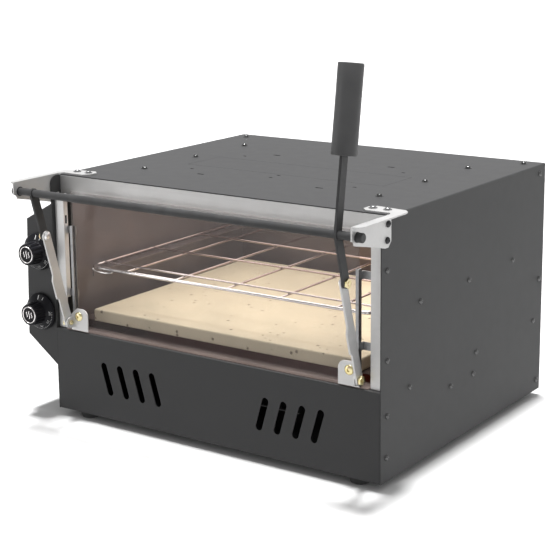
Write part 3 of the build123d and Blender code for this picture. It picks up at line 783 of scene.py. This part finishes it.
class OVEN_OT_knobs(bpy.types.Operator):
    """Turn the two fluted knobs with their dials and caps."""

    bl_idname = "oven.knobs"
    bl_label = "Knobs"

    profile = [
        (0.0, 30.6), (0.5, 31.0), (3.2, 31.0), (3.9, 30.6), (5.5, 28.6), (8.8, 20.2),
        (9.2, 19.4), (9.8, 19.0, 0, 0.2), (11.0, 18.9, 0, 1), (14.0, 18.75, 0, 1), (18.0, 18.55, 0, 1),
        (22.0, 18.4, 0, 1), (26.0, 18.2, 0, 1), (27.6, 18.05, 0, 0.9), (28.8, 17.8, 0, 0.5),
        (29.6, 17.3, 0, 0.15), (29.9, 16.6), (30.0, 15.8), (29.8, 15.1), (28.6, 14.7), (28.5, 0.0),
    ]
    hub = [
        (0.0, 18.0), (5.0, 16.2), (5.0, 7.1), (0.6, 6.9), (0.2, 6.5), (0.2, 3.25), (12.0, 3.25), (12.0, 0.0),
    ]
    numerals = {"50": -62, "100": -105, "150": -148, "200": 166, "250": 126, "300": 88}
    cap_ring = [
        (28.55, 12.2), (29.9, 12.3), (30.35, 12.6), (30.6, 13.2), (30.4, 13.8), (29.8, 14.2), (28.55, 14.4),
    ]
    cap_face = [(28.6, 0.0), (29.2, 0.0), (29.2, 6.0), (29.15, 10.0), (28.9, 12.2), (28.6, 12.3)]

    def execute(self, context):
        sizes = settings()[1]
        for level in ("upper", "lower"):
            low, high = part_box(f"knob_{level}")
            self.centre = np.array(((low.x + high.x) / 2, high.y, (low.z + high.z) / 2))
            body = frame["nodes"][f"knob_{level}"]["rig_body"]
            profile = self.hub[::-1] + self.profile
            shell = turned(np_mm(profile), 14 * 12, (sizes.flutes, sizes.flute_depth))
            shell = placed(shell, self.centre, (0, -1, 0))
            add_piece(f"knob_{level}_shell", shell, "knob_plastic", body, [f"knob_{level}"])
            add_piece(f"dial_marks_{level}", self.marks(sizes), "dial_print", body)
            face = placed(turned(np_mm(self.cap_face), 64), self.centre, (0, -1, 0))
            add_piece(f"cap_face_{level}", face, "knob_plastic", body)
            ring = self.cap_ring + self.cap_ring[:1]
            rim = joined([placed(turned(np_mm(ring), 96), self.centre, (0, -1, 0)), self.emblem()])
            add_piece(f"cap_ring_{level}", rim, "chrome", body, [f"knob_cap_{level}"])
        return {"FINISHED"}

    def on_dial(self, across_mm, up_mm, rise_mm):
        """Points of the dial face: x to the right, z up, lifted to the skirt's cone, whose height
        falls from 8.8 at radius 20.2 to 5.5 at radius 28.6, plus rise."""
        radius = np.hypot(across_mm, up_mm)
        cone = 8.8 + (radius - 20.2) * (5.5 - 8.8) / (28.6 - 20.2)
        offset = np.stack((across_mm, -(cone + rise_mm), up_mm), -1)
        return self.centre + offset * MM

    def stroke(self, turn, inner, outer, width):
        """Raised radial bar on the dial: a box of radius inner..outer and the given width."""
        along = np.linspace(inner, outer, 5)[:, None]
        across_bar = np.array((-1.0, 1.0, 1.0, -1.0))[None, :] * width / 2
        rise = np.array((-0.05, -0.05, 0.14, 0.14))[None, :] + 0 * along
        a = radians(turn)
        x = along * sin(a) + across_bar * cos(a)
        z = along * cos(a) - across_bar * sin(a)
        points = self.on_dial(x, z, rise).reshape(-1, 3)
        return points, closed_ends(grid_faces(5, 4), 5, 4)

    def numeral(self, text, turn, height):
        """A numeral written round the dial and draped on its cone."""
        letters = bpy.data.curves.new("numeral", "FONT")
        letters.body = text
        letters.size = height
        letters.align_x = "CENTER"
        letters.align_y = "CENTER"
        letters.extrude = 0.1 * MM
        letters.resolution_u = 4
        holder = bpy.data.objects.new("numeral", letters)
        bpy.context.scene.collection.objects.link(holder)
        mesh = bpy.data.meshes.new_from_object(holder.evaluated_get(bpy.context.evaluated_depsgraph_get()))
        flat = np.zeros(len(mesh.vertices) * 3)
        mesh.vertices.foreach_get("co", flat)
        flat = flat.reshape(-1, 3) / MM
        mesh.calc_loop_triangles()
        corners = np.zeros(len(mesh.loop_triangles) * 3, int)
        mesh.loop_triangles.foreach_get("vertices", corners)
        bpy.data.objects.remove(holder)
        bpy.data.curves.remove(letters)
        bpy.data.meshes.remove(mesh)
        a = radians(turn)
        radius = 24.2 + flat[:, 1]
        x = radius * sin(a) + flat[:, 0] * cos(a)
        z = radius * cos(a) - flat[:, 0] * sin(a)
        faces = corners.reshape(-1, 3)
        return self.on_dial(x, z, flat[:, 2] + 0.04), np.concatenate((faces, faces[:, 2:]), 1)

    def marks(self, sizes):
        """Zero mark, numerals and the row of dots, as one printed piece."""
        shapes = [self.stroke(0, 21.5, 28.2, 1.3), self.stroke(22, 23.0, 27.6, 0.8)]
        shapes += [self.numeral(text, turn, sizes.numeral) for text, turn in self.numerals.items()]
        shapes += [self.stroke(turn, 27.6, 28.4, 0.8) for turn in range(84, 200, 6)]
        return joined(shapes)

    def emblem(self):
        """Three raised heat waves on the cap: a bar whose middle line is x = x0 + sway sin(2 pi t)."""
        t = np.linspace(0.0, 1.0, 15)[:, None]
        section_x = np.array((-0.65, 0.65, 0.65, -0.65))[None, :]
        section_y = np.array((28.8, 28.8, 29.55, 29.55))[None, :]
        waves = []
        for x0, tall in ((-5.2, 9.0), (0.0, 13.0), (5.2, 9.0)):
            x = x0 + 0.9 * np.sin(2 * pi * t) + section_x
            z = (t - 0.5) * tall + 0 * section_x
            offset = np.stack((x, -(section_y + 0 * x), z), -1)
            points = (self.centre + offset * MM).reshape(-1, 3)
            waves.append((points, closed_ends(grid_faces(15, 4), 15, 4)))
        return joined(waves)


class OVEN_OT_door_hardware(bpy.types.Operator):
    """Make the pivot bolts, glass screws, arm pins and link pin heads."""

    bl_idname = "oven.door_hardware"
    bl_label = "Door hardware"

    def execute(self, context):
        self.glass_screws()
        self.pivot_bolts()
        self.arm_pins()
        self.pin_heads()
        return {"FINISHED"}

    def glass_screws(self):
        """Domed screw through bracket and glass, with a washer and nut behind."""
        body = frame["nodes"]["glass_screws"]["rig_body"]
        head = [(0, 0), (0, 7.3), (0.5, 7.6), (1.2, 7.3), (2.0, 6.3), (2.6, 4.6), (2.85, 3.1)]
        head += [(2.9, 2.9, 2.4), (1.1, 2.9, 2.4), (1.1, 0.0)]
        shapes = []
        for low, high in clusters("glass_screws"):
            x, z = (low[0] + high[0]) / 2, (low[2] + high[2]) / 2
            face = low[1] + 3.0 * MM
            shapes.append(placed(turned(np_mm(head), 48), (x, face, z), (0, -1, 0)))
            shapes.append(placed(threaded(3.0 * MM, high[1] - face, settings()[1].pitch, 0.3 * MM),
                                 (x, face, z), (0, 1, 0)))
            nut = high[1] - 3.9 * MM
            shapes.append(placed(washer(3.1, 7.4, 1.1), (x, nut - 1.3 * MM, z), (0, 1, 0)))
            shapes.append(placed(hex_nut(5.0, 3.0, 3.4), (x, nut, z), (0, 1, 0)))
        add_piece("glass_screw_set", joined(shapes), "yellow_zinc", body, ["glass_screws"])

    def pivot_bolts(self):
        """Shoulder bolt from the bracket ear through the link, with a hex nut outboard."""
        body = frame["nodes"]["pivot_bolts"]["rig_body"]
        head = [(0, 0), (0, 3.2), (0.5, 3.8), (2.7, 3.8), (2.7, 3.0), (13.6, 3.0), (13.6, 0)]
        spacer = [(5.2, 3.0), (5.2, 4.8), (5.4, 5.0), (6.0, 5.0), (6.1, 4.8), (6.1, 3.0)]
        shapes = []
        for low, high in clusters("pivot_bolts"):
            y, z = (low[1] + high[1]) / 2, (low[2] + high[2]) / 2
            out = 1 if high[0] > 0.1 else -1
            inner = low[0] if out > 0 else high[0]
            outer = high[0] if out > 0 else low[0]
            shapes.append(placed(turned(np_mm(head), 32), (inner, y, z), (out, 0, 0)))
            shapes.append(placed(turned(np_mm(spacer + spacer[:1]), 32), (inner, y, z), (out, 0, 0)))
            nut = outer - out * 4.5 * MM
            shapes.append(placed(hex_nut(6.4, 3.0, 4.0), (nut, y, z), (out, 0, 0)))
            shapes.append(placed(threaded(2.9 * MM, 4.5 * MM, settings()[1].pitch, 0.3 * MM),
                                 (nut, y, z), (out, 0, 0)))
        add_piece("pivot_bolt_set", joined(shapes), "yellow_zinc", body, ["pivot_bolts"])

    def arm_pins(self):
        """Pin through the arm's end with a flanged hex nut outboard."""
        body = frame["nodes"]["arm_pins"]["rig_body"]
        pin = [(0, 0), (0, 2.7), (0.3, 3.0), (6.5, 3.0), (6.5, 0.0)]
        shapes = []
        for low, high in clusters("arm_pins"):
            y, z = (low[1] + high[1]) / 2, (low[2] + high[2]) / 2
            out = 1 if high[0] > 0.1 else -1
            inner = low[0] if out > 0 else high[0]
            outer = high[0] if out > 0 else low[0]
            shapes.append(placed(turned(np_mm(pin), 32), (inner, y, z), (out, 0, 0)))
            nut = outer - out * 4.2 * MM
            shapes.append(placed(hex_nut(6.4, 3.0, 3.4), (nut, y, z), (out, 0, 0)))
            shapes.append(placed(threaded(2.9 * MM, 4.2 * MM, settings()[1].pitch, 0.3 * MM),
                                 (nut, y, z), (out, 0, 0)))
        add_piece("arm_pin_set", joined(shapes), "yellow_zinc", body, ["arm_pins"])

    def pin_heads(self):
        """Domed head inboard of each link, on a short shank."""
        body = frame["nodes"]["link_pin_heads"]["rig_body"]
        head = [(0, 0), (0, 2.7), (0.1, 3.0), (3.3, 3.0), (3.3, 6.3), (3.7, 6.8), (4.6, 6.6)]
        head += [(5.5, 5.5), (6.1, 3.8), (6.4, 1.7), (6.4, 0.0)]
        shapes = []
        for low, high in clusters("link_pin_heads"):
            y, z = (low[1] + high[1]) / 2, (low[2] + high[2]) / 2
            out = 1 if high[0] > 0.1 else -1
            outer = high[0] if out > 0 else low[0]
            shapes.append(placed(turned(np_mm(head), 40), (outer, y, z), (-out, 0, 0)))
        add_piece("pin_head_set", joined(shapes), "bright_zinc", body, ["link_pin_heads"])


class OVEN_OT_casing_fasteners(bpy.types.Operator):
    """Make the screws and rivets of the casing and of the shaft brackets."""

    bl_idname = "oven.casing_fasteners"
    bl_label = "Casing fasteners"

    button = [(0, 0), (0, 5.0), (0.4, 5.2), (1.2, 5.0), (2.4, 4.2), (3.2, 3.0), (3.35, 2.2)]
    button += [(3.4, 2.1, 1.75), (1.4, 2.1, 1.75), (1.4, 0.0)]
    flanged = [(0, 0), (0, 6.2), (0.25, 6.45), (0.7, 6.4), (0.9, 4.4), (2.4, 4.1), (3.1, 3.4, -1)]
    flanged += [(3.3, 2.6, -1), (3.38, 1.8, -1), (3.4, 1.2, -1), (3.4, 0.7, -1), (3.4, 0.0, -1)]
    small = [(0, 0), (0, 5.8), (0.2, 6.0), (0.8, 5.9), (0.9, 4.2), (2.6, 4.0), (3.5, 3.2, -1)]
    small += [(3.8, 2.4, -1), (3.93, 1.7, -1), (3.98, 1.1, -1), (4.0, 0.6, -1), (4.0, 0.0, -1)]
    rivet = [(0, 0), (0, 4.3), (0.2, 4.5), (1.1, 4.2), (2.0, 3.3), (2.6, 2.1), (2.8, 1.4), (2.4, 1.15)]
    rivet += [(2.3, 0.0)]
    pan = [(0, 0), (0, 3.5), (0.3, 3.6), (1.2, 3.35), (1.9, 2.5, -1), (2.1, 1.8, -1), (2.18, 1.2, -1)]
    pan += [(2.2, 0.7, -1), (2.2, 0.35, -1), (2.2, 0.0, -1)]

    def execute(self, context):
        sides, tabs = [], []
        for low, high in clusters("bracket_screws"):
            size = high - low
            mid = (low + high) / 2
            if size[2] > 8 * MM:
                out = 1 if mid[0] > 0.02 else -1
                start = low[0] if out > 0 else high[0]
                sides.append(placed(turned(np_mm(self.button), 48), (start, mid[1], mid[2]), (out, 0, 0)))
            else:
                tabs.append((mid[0], mid[1], low[2]))
        cross = (0.55 * MM, 1.9 * MM, 1.0 * MM)
        heads = repeated(turned(np_mm(self.flanged), 64, cross=cross), tabs, (0, 0, 1))
        add_piece("bracket_side_screws", joined(sides), "black_screws", "root",
                  ["bracket_screws"])
        add_piece("bracket_tab_screws", heads, "grey_zinc", "root")
        tops = [
            ((low[0] + high[0]) / 2, (low[1] + high[1]) / 2, low[2]) for low, high in clusters("top_screws")
        ]
        cross = (0.4 * MM, 1.5 * MM, 0.9 * MM)
        heads = repeated(turned(np_mm(self.small), 64, cross=cross), tops, (0, 0, 1))
        add_piece("top_screw_set", heads, "burnished", "root", ["top_screws"])
        backs = [
            ((low[0] + high[0]) / 2, low[1], (low[2] + high[2]) / 2) for low, high in clusters("back_screws")
        ]
        cross = (0.4 * MM, 1.6 * MM, 0.8 * MM)
        heads = repeated(turned(np_mm(self.pan), 64, cross=cross), backs, (0, 1, 0))
        add_piece("back_screw_set", heads, "black_screws", "root", ["back_screws"])
        for side, out in (("left", -1), ("right", 1)):
            node = f"side_rivets_{side}"
            starts = [
                (low[0] if out > 0 else high[0], (low[1] + high[1]) / 2, (low[2] + high[2]) / 2)
                for low, high in clusters(node)
            ]
            heads = repeated(turned(np_mm(self.rivet), 28), starts, (out, 0, 0))
            add_piece(f"rivet_heads_{side}", heads, "burnished", "root", [node])
        return {"FINISHED"}


class OVEN_OT_feet(bpy.types.Operator):
    """Turn the four rubber feet and the ribbed cable gland."""

    bl_idname = "oven.feet"
    bl_label = "Feet and gland"

    foot = [(0, 4.0), (0, 13.6), (0.3, 14.4), (1.2, 15.2), (3.0, 15.6), (3.6, 15.4), (4.2, 15.7)]
    foot += [(8.6, 16.6), (9.2, 16.4), (9.8, 16.8), (11.3, 17.0), (11.7, 16.7), (11.7, 3.0), (4.0, 3.0)]
    foot += [(4.0, 4.0)]

    def execute(self, context):
        places = [((low[0] + high[0]) / 2, (low[1] + high[1]) / 2, low[2]) for low, high in clusters("feet")]
        feet = repeated(turned(np_mm(self.foot + self.foot[:1]), 64), places, (0, 0, 1))
        add_piece("rubber_feet", feet, "rubber", "root", ["feet"])
        low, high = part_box("cable_gland")
        x, z = (low.x + high.x) / 2, (low.z + high.z) / 2
        face = high.y - 24 * MM
        nut = [(-6.0, 4.5), (-6.0, 7.4), (-5.6, 7.9), (0.0, 7.9), (0.0, 11.2), (0.4, 11.5), (4.6, 11.5)]
        nut += [(5.0, 11.2), (5.0, 9.9, 9.9), (5.6, 11.5, 9.9), (15.2, 11.5, 9.9), (16.0, 10.2, 9.9)]
        nut += [(16.0, 8.2, 0, 0.3), (18.0, 8.0, 0, 1), (21.4, 7.5, 0, 1), (23.2, 6.7, 0, 0.5), (24.0, 5.6)]
        nut += [(24.0, 4.5), (-6.0, 4.5)]
        gland = placed(turned(np_mm(nut), 120, (20, 0.5 * MM)), (x, face, z), (0, 1, 0))
        add_piece("gland_body", gland, "gland_plastic", "root", ["cable_gland"])
        return {"FINISHED"}


class OVEN_OT_grip(bpy.types.Operator):
    """Turn the handle grip with its dished top and lower collar."""

    bl_idname = "oven.grip"
    bl_label = "Grip"

    profile = [
        (0.3, 0.0), (0.3, 8.0), (0.0, 9.0), (0.0, 16.6), (0.5, 17.6), (1.6, 18.0), (30.0, 17.9),
        (62.0, 17.82), (94.0, 17.9), (122.2, 18.0), (123.4, 17.6), (124.0, 16.6), (124.0, 9.0),
        (123.7, 8.0), (123.7, 0.0),
    ]

    def execute(self, context):
        low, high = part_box("grip")
        shaft = middle("shaft")
        mid = (low + high) / 2
        lean = np.arctan2(mid.y - shaft.y, mid.z - shaft.z)
        axis = np.array((0.0, sin(lean), cos(lean)))
        start = np.array(mid) - axis * 62.0 * MM
        grip = placed(turned(np_mm(self.profile), 96), start, axis)
        body = frame["nodes"]["grip"]["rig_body"]
        add_piece("handle_grip", grip, "grip_plastic", body, ["grip"])
        return {"FINISHED"}


class OVEN_OT_stone(bpy.types.Operator):
    """Make the baking stone with worn arrises."""

    bl_idname = "oven.stone"
    bl_label = "Stone"

    def execute(self, context):
        low, high = (np.array(corner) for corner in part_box("stone"))
        add_piece("baking_stone", worn_block(low, high, 2.2 * MM, 0.5 * MM, 200), "stone", "root",
                  ["stone"], sharp=60.0)
        return {"FINISHED"}


class OVEN_OT_rack(bpy.types.Operator):
    """Bend the wire rack: a round-cornered frame, the wires welded on it and the curl under its front."""

    bl_idname = "oven.rack"
    bl_label = "Wire rack"

    def execute(self, context):
        low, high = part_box("wire_rack")
        frame_r, wire_r, bend = 3.0 * MM, 1.8 * MM, 22.0 * MM
        first, pitch = 35.0 * MM, 101.0 * MM
        curl_from, curl_half, curl_drop = 26.0 * MM, 22.0 * MM, 7.0 * MM
        z = low.z + 4.2 * MM
        x0, x1 = low.x + frame_r, high.x - frame_r
        y0, y1 = low.y + frame_r, high.y - frame_r
        quarter = np.linspace(0.0, pi / 2, 9)
        centres = ((x1 - bend, y1 - bend, 0.0), (x0 + bend, y1 - bend, pi / 2),
                   (x0 + bend, y0 + bend, pi), (x1 - bend, y0 + bend, 1.5 * pi))
        loop = [
            np.stack((cx + bend * np.cos(quarter + a), cy + bend * np.sin(quarter + a), z + 0 * quarter), -1)
            for cx, cy, a in centres
        ]
        shapes = [tube(np.concatenate(loop), frame_r, 18, closed=True)]
        over = z + 1.0 * MM
        for y in np.linspace(y0 + first, y1, 4)[:3]:
            shapes.append(bar((x0, y, over), (x1, y, over), wire_r))
        sweep = np.linspace(0.0, pi, 17)[1:-1]
        lower = z - curl_drop * np.sin(sweep) ** 0.6
        curl = (x0 + curl_from - curl_half * np.cos(sweep), y0 + 0 * sweep, lower)
        shapes.append(tube(np.stack(curl, -1), wire_r * np.clip(8 * np.sin(sweep), 0.0, 1.0)))
        under = z - 2.4 * MM
        for x in (x0 + x1) / 2 + pitch * np.arange(-2, 3):
            shapes.append(bar((x, y0, under), (x, y1, under), wire_r))
        add_piece("rack_wires", joined(shapes), "chrome", "root", ["wire_rack"], sharp=50.0)
        return {"FINISHED"}


class OVEN_OT_heaters(bpy.types.Operator):
    """Wind the heater rods and turn their ceramic ends."""

    bl_idname = "oven.heaters"
    bl_label = "Heaters"

    bead = [(0, 4.7), (0, 8.2), (0.8, 9.0), (4.0, 9.0), (4.6, 8.2), (5.2, 9.0), (9.0, 9.0), (9.8, 8.2)]
    bead += [(10.4, 9.0), (16.6, 9.0), (17.4, 8.2), (17.4, 0.0), (1.0, 0.0), (1.0, 4.7)]

    def execute(self, context):
        pitch = settings()[1].spiral
        for level in ("upper", "lower"):
            node = f"heating_element_{level}"
            rods = [self.rod(low, high, pitch) for low, high in clusters(node)]
            add_piece(f"heater_rods_{level}", joined(rods), "element_steel", "root", [node],
                      sharp=80.0)
            node = f"ceramic_ends_{level}"
            beads = []
            for low, high in clusters(node):
                mid = (low + high) / 2
                out = 1 if mid[0] > 0.02 else -1
                start = low[0] if out > 0 else high[0]
                bead = turned(np_mm(self.bead + self.bead[:1]), 32)
                beads.append(placed(bead, (start, mid[1], mid[2]), (out, 0, 0)))
            add_piece(f"ceramic_beads_{level}", joined(beads), "ceramic", "root", [node])
        return {"FINISHED"}

    def rod(self, low, high, pitch):
        """Rod with a wire wound on it: the radius at angle a and place s is core + wire times
        max(0, cos(2 pi (s / pitch - a / turn))) to the half, which draws one round helix."""
        mid = (low + high) / 2
        radius = (high[2] - low[2]) / 2
        s = np.linspace(0.0, high[0] - low[0], 541)[:, None]
        a = np.linspace(0.0, 2 * pi, 14, endpoint=False)[None, :]
        wave = np.clip(np.cos(2 * pi * (s / pitch) - a), 0.0, None) ** 0.5
        r = radius - 0.9 * MM + 0.9 * MM * wave
        r[[0, -1]] = 0.0
        points = np.stack((low[0] + s + 0 * a, mid[1] + r * np.cos(a), mid[2] + r * np.sin(a)), -1)
        return points.reshape(-1, 3), grid_faces(541, 14)


class OVEN_OT_studio(bpy.types.Operator):
    """Set up the floor, the surround, the lights and the camera."""

    bl_idname = "oven.studio"
    bl_label = "Studio"

    key_spread = radians(6.0)
    key_lean = (radians(-1.2), radians(-2.2), 0.0)
    lamp_share, lamp_drop = 0.96, 8.0 * MM
    door_inset, door_drop, door_width, door_lean = 6.0 * MM, 12.0 * MM, 12.0 * MM, radians(16.0)
    strip_place, strip_turn, strip_size = (-1.3, -1.5, 0.9), radians(-42.0), (0.25, 1.6)
    from_right, from_back = 0.16, 0.21

    def execute(self, context):
        studio = settings()[2]
        self.camera(context.scene, studio)
        self.floor(context.scene, studio)
        self.surround(context.scene, studio)
        self.lights(context.scene, studio)
        context.scene.view_settings.view_transform = "Standard"
        return {"FINISHED"}

    def camera(self, scene, studio):
        data = bpy.data.cameras.new("camera")
        data.lens = studio.lens
        data.sensor_width = 36.0
        data.shift_y = studio.rise
        data.clip_end = 100.0
        camera = bpy.data.objects.new("camera", data)
        scene.collection.objects.link(camera)
        turn = Matrix.Rotation(studio.turn, 4, "Z") @ Matrix.Rotation(pi / 2 - studio.tilt, 4, "X")
        camera.matrix_world = Matrix.Translation(studio.eye) @ turn @ Matrix.Rotation(studio.roll, 4, "Z")
        scene.camera = camera

    def floor(self, scene, studio):
        """Flat sheet under the feet, 60 m across, as a grid of x and y at height 0."""
        reach = np.linspace(-30.0, 30.0, 7)
        x, y = np.meshgrid(reach, reach)
        points = np.stack((x, y, 0 * x), -1).reshape(-1, 3)
        mesh = bpy.data.meshes.new("floor")
        mesh.from_pydata(points.tolist(), [], grid_faces(7, 7, round_columns=False).tolist())
        f = new_finish("floor")
        cloud = f.noise(1.5, 2.0)
        base = f.mix(cloud, shade(studio.floor, 0.99), shade(studio.floor, 1.01))
        mesh.materials.append(f.surface({"Base Color": base, "Roughness": 0.9}))
        floor = bpy.data.objects.new("floor", mesh)
        scene.collection.objects.link(floor)
        floor.visible_diffuse = False

    def surround(self, scene, studio):
        """White to the camera. Its light on the oven is a soft grey, stronger from the right and the
        back by the shares below."""
        scene.world = bpy.data.worlds.new("surround")
        f = Finish(scene.world, "Generated")
        strength = studio.sky * (1.0 + self.from_right * f.height(0) + self.from_back * f.height(1))
        lit = f.node("ShaderNodeBackground", None, {"Color": (1.0, 1.0, 1.0), "Strength": strength})
        seen = f.node("ShaderNodeBackground", None, {"Color": (1.0, 1.0, 1.0), "Strength": 1.0})
        camera_ray = f.node("ShaderNodeLightPath", output="Is Camera Ray")
        both = f.node("ShaderNodeMixShader", None, {0: camera_ray, 1: lit, 2: seen})
        f.node("ShaderNodeOutputWorld", None, {"Surface": both})

    def lights(self, scene, studio):
        """Overhead key, two lamps in the chamber, and a tall strip that only gloss shows."""
        key = bpy.data.lights.new("key", "SUN")
        key.energy = studio.key
        key.angle = self.key_spread
        overhead = bpy.data.objects.new("key", key)
        overhead.rotation_euler = self.key_lean
        scene.collection.objects.link(overhead)
        low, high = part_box("chamber_liner")
        mid = (low + high) / 2
        reach = (high - low) * self.lamp_share
        ceiling = Matrix.Translation((mid.x, mid.y, high.z - self.lamp_drop))
        lamp = self.area(scene, "chamber_lamp", (reach.x, reach.y), studio.chamber, ceiling)
        lamp.data.color = (1.0, 0.93, 0.87)
        lintel = Matrix.Translation((mid.x, low.y + self.door_inset, high.z - self.door_drop))
        lintel = lintel @ Matrix.Rotation(self.door_lean, 4, "X")
        self.area(scene, "door_lamp", (reach.x, self.door_width), studio.door, lintel)
        stand = Matrix.Translation(self.strip_place) @ Matrix.Rotation(self.strip_turn, 4, "Z")
        upright = stand @ Matrix.Rotation(pi / 2, 4, "X")
        strip = self.area(scene, "strip", self.strip_size, studio.strip, upright)
        strip.visible_diffuse = False

    def area(self, scene, name, size, power, place):
        """Rectangular lamp that the camera doesn't see."""
        data = bpy.data.lights.new(name, "AREA")
        data.shape = "RECTANGLE"
        data.size, data.size_y = size
        data.energy = power
        lamp = bpy.data.objects.new(name, data)
        lamp.matrix_world = place
        lamp.visible_camera = False
        scene.collection.objects.link(lamp)
        return lamp


class OVEN_PT_panel(bpy.types.Panel):
    """Lists the oven's steps."""

    bl_label = "Pizza oven"
    bl_idname = "OVEN_PT_panel"
    bl_space_type = "VIEW_3D"
    bl_region_type = "UI"
    bl_category = "Oven"

    def draw(self, context):
        for step in STEPS:
            self.layout.operator(step.bl_idname)
        for group in settings():
            for name in group.__annotations__:
                self.layout.prop(group, name)


STEPS = (
    OVEN_OT_studio, OVEN_OT_finishes, OVEN_OT_knobs, OVEN_OT_door_hardware, OVEN_OT_casing_fasteners,
    OVEN_OT_feet, OVEN_OT_grip, OVEN_OT_stone, OVEN_OT_rack, OVEN_OT_heaters,
)
GROUPS = {"oven_finishes": OvenFinishes, "oven_sizes": OvenSizes, "oven_studio": OvenStudio}


def register():
    for made in (*GROUPS.values(), *STEPS, OVEN_PT_panel):
        bpy.utils.register_class(made)
    for name, group in GROUPS.items():
        setattr(bpy.types.Scene, name, PointerProperty(type=group))


def unregister():
    for name in GROUPS:
        delattr(bpy.types.Scene, name)
    for made in (OVEN_PT_panel, *reversed(STEPS), *reversed(GROUPS.values())):
        bpy.utils.unregister_class(made)


def main():
    """Run every step in order."""
    register()
    for step in STEPS:
        group, name = step.bl_idname.split(".")
        getattr(getattr(bpy.ops, group), name)()


if __name__ == "__main__":
    main()
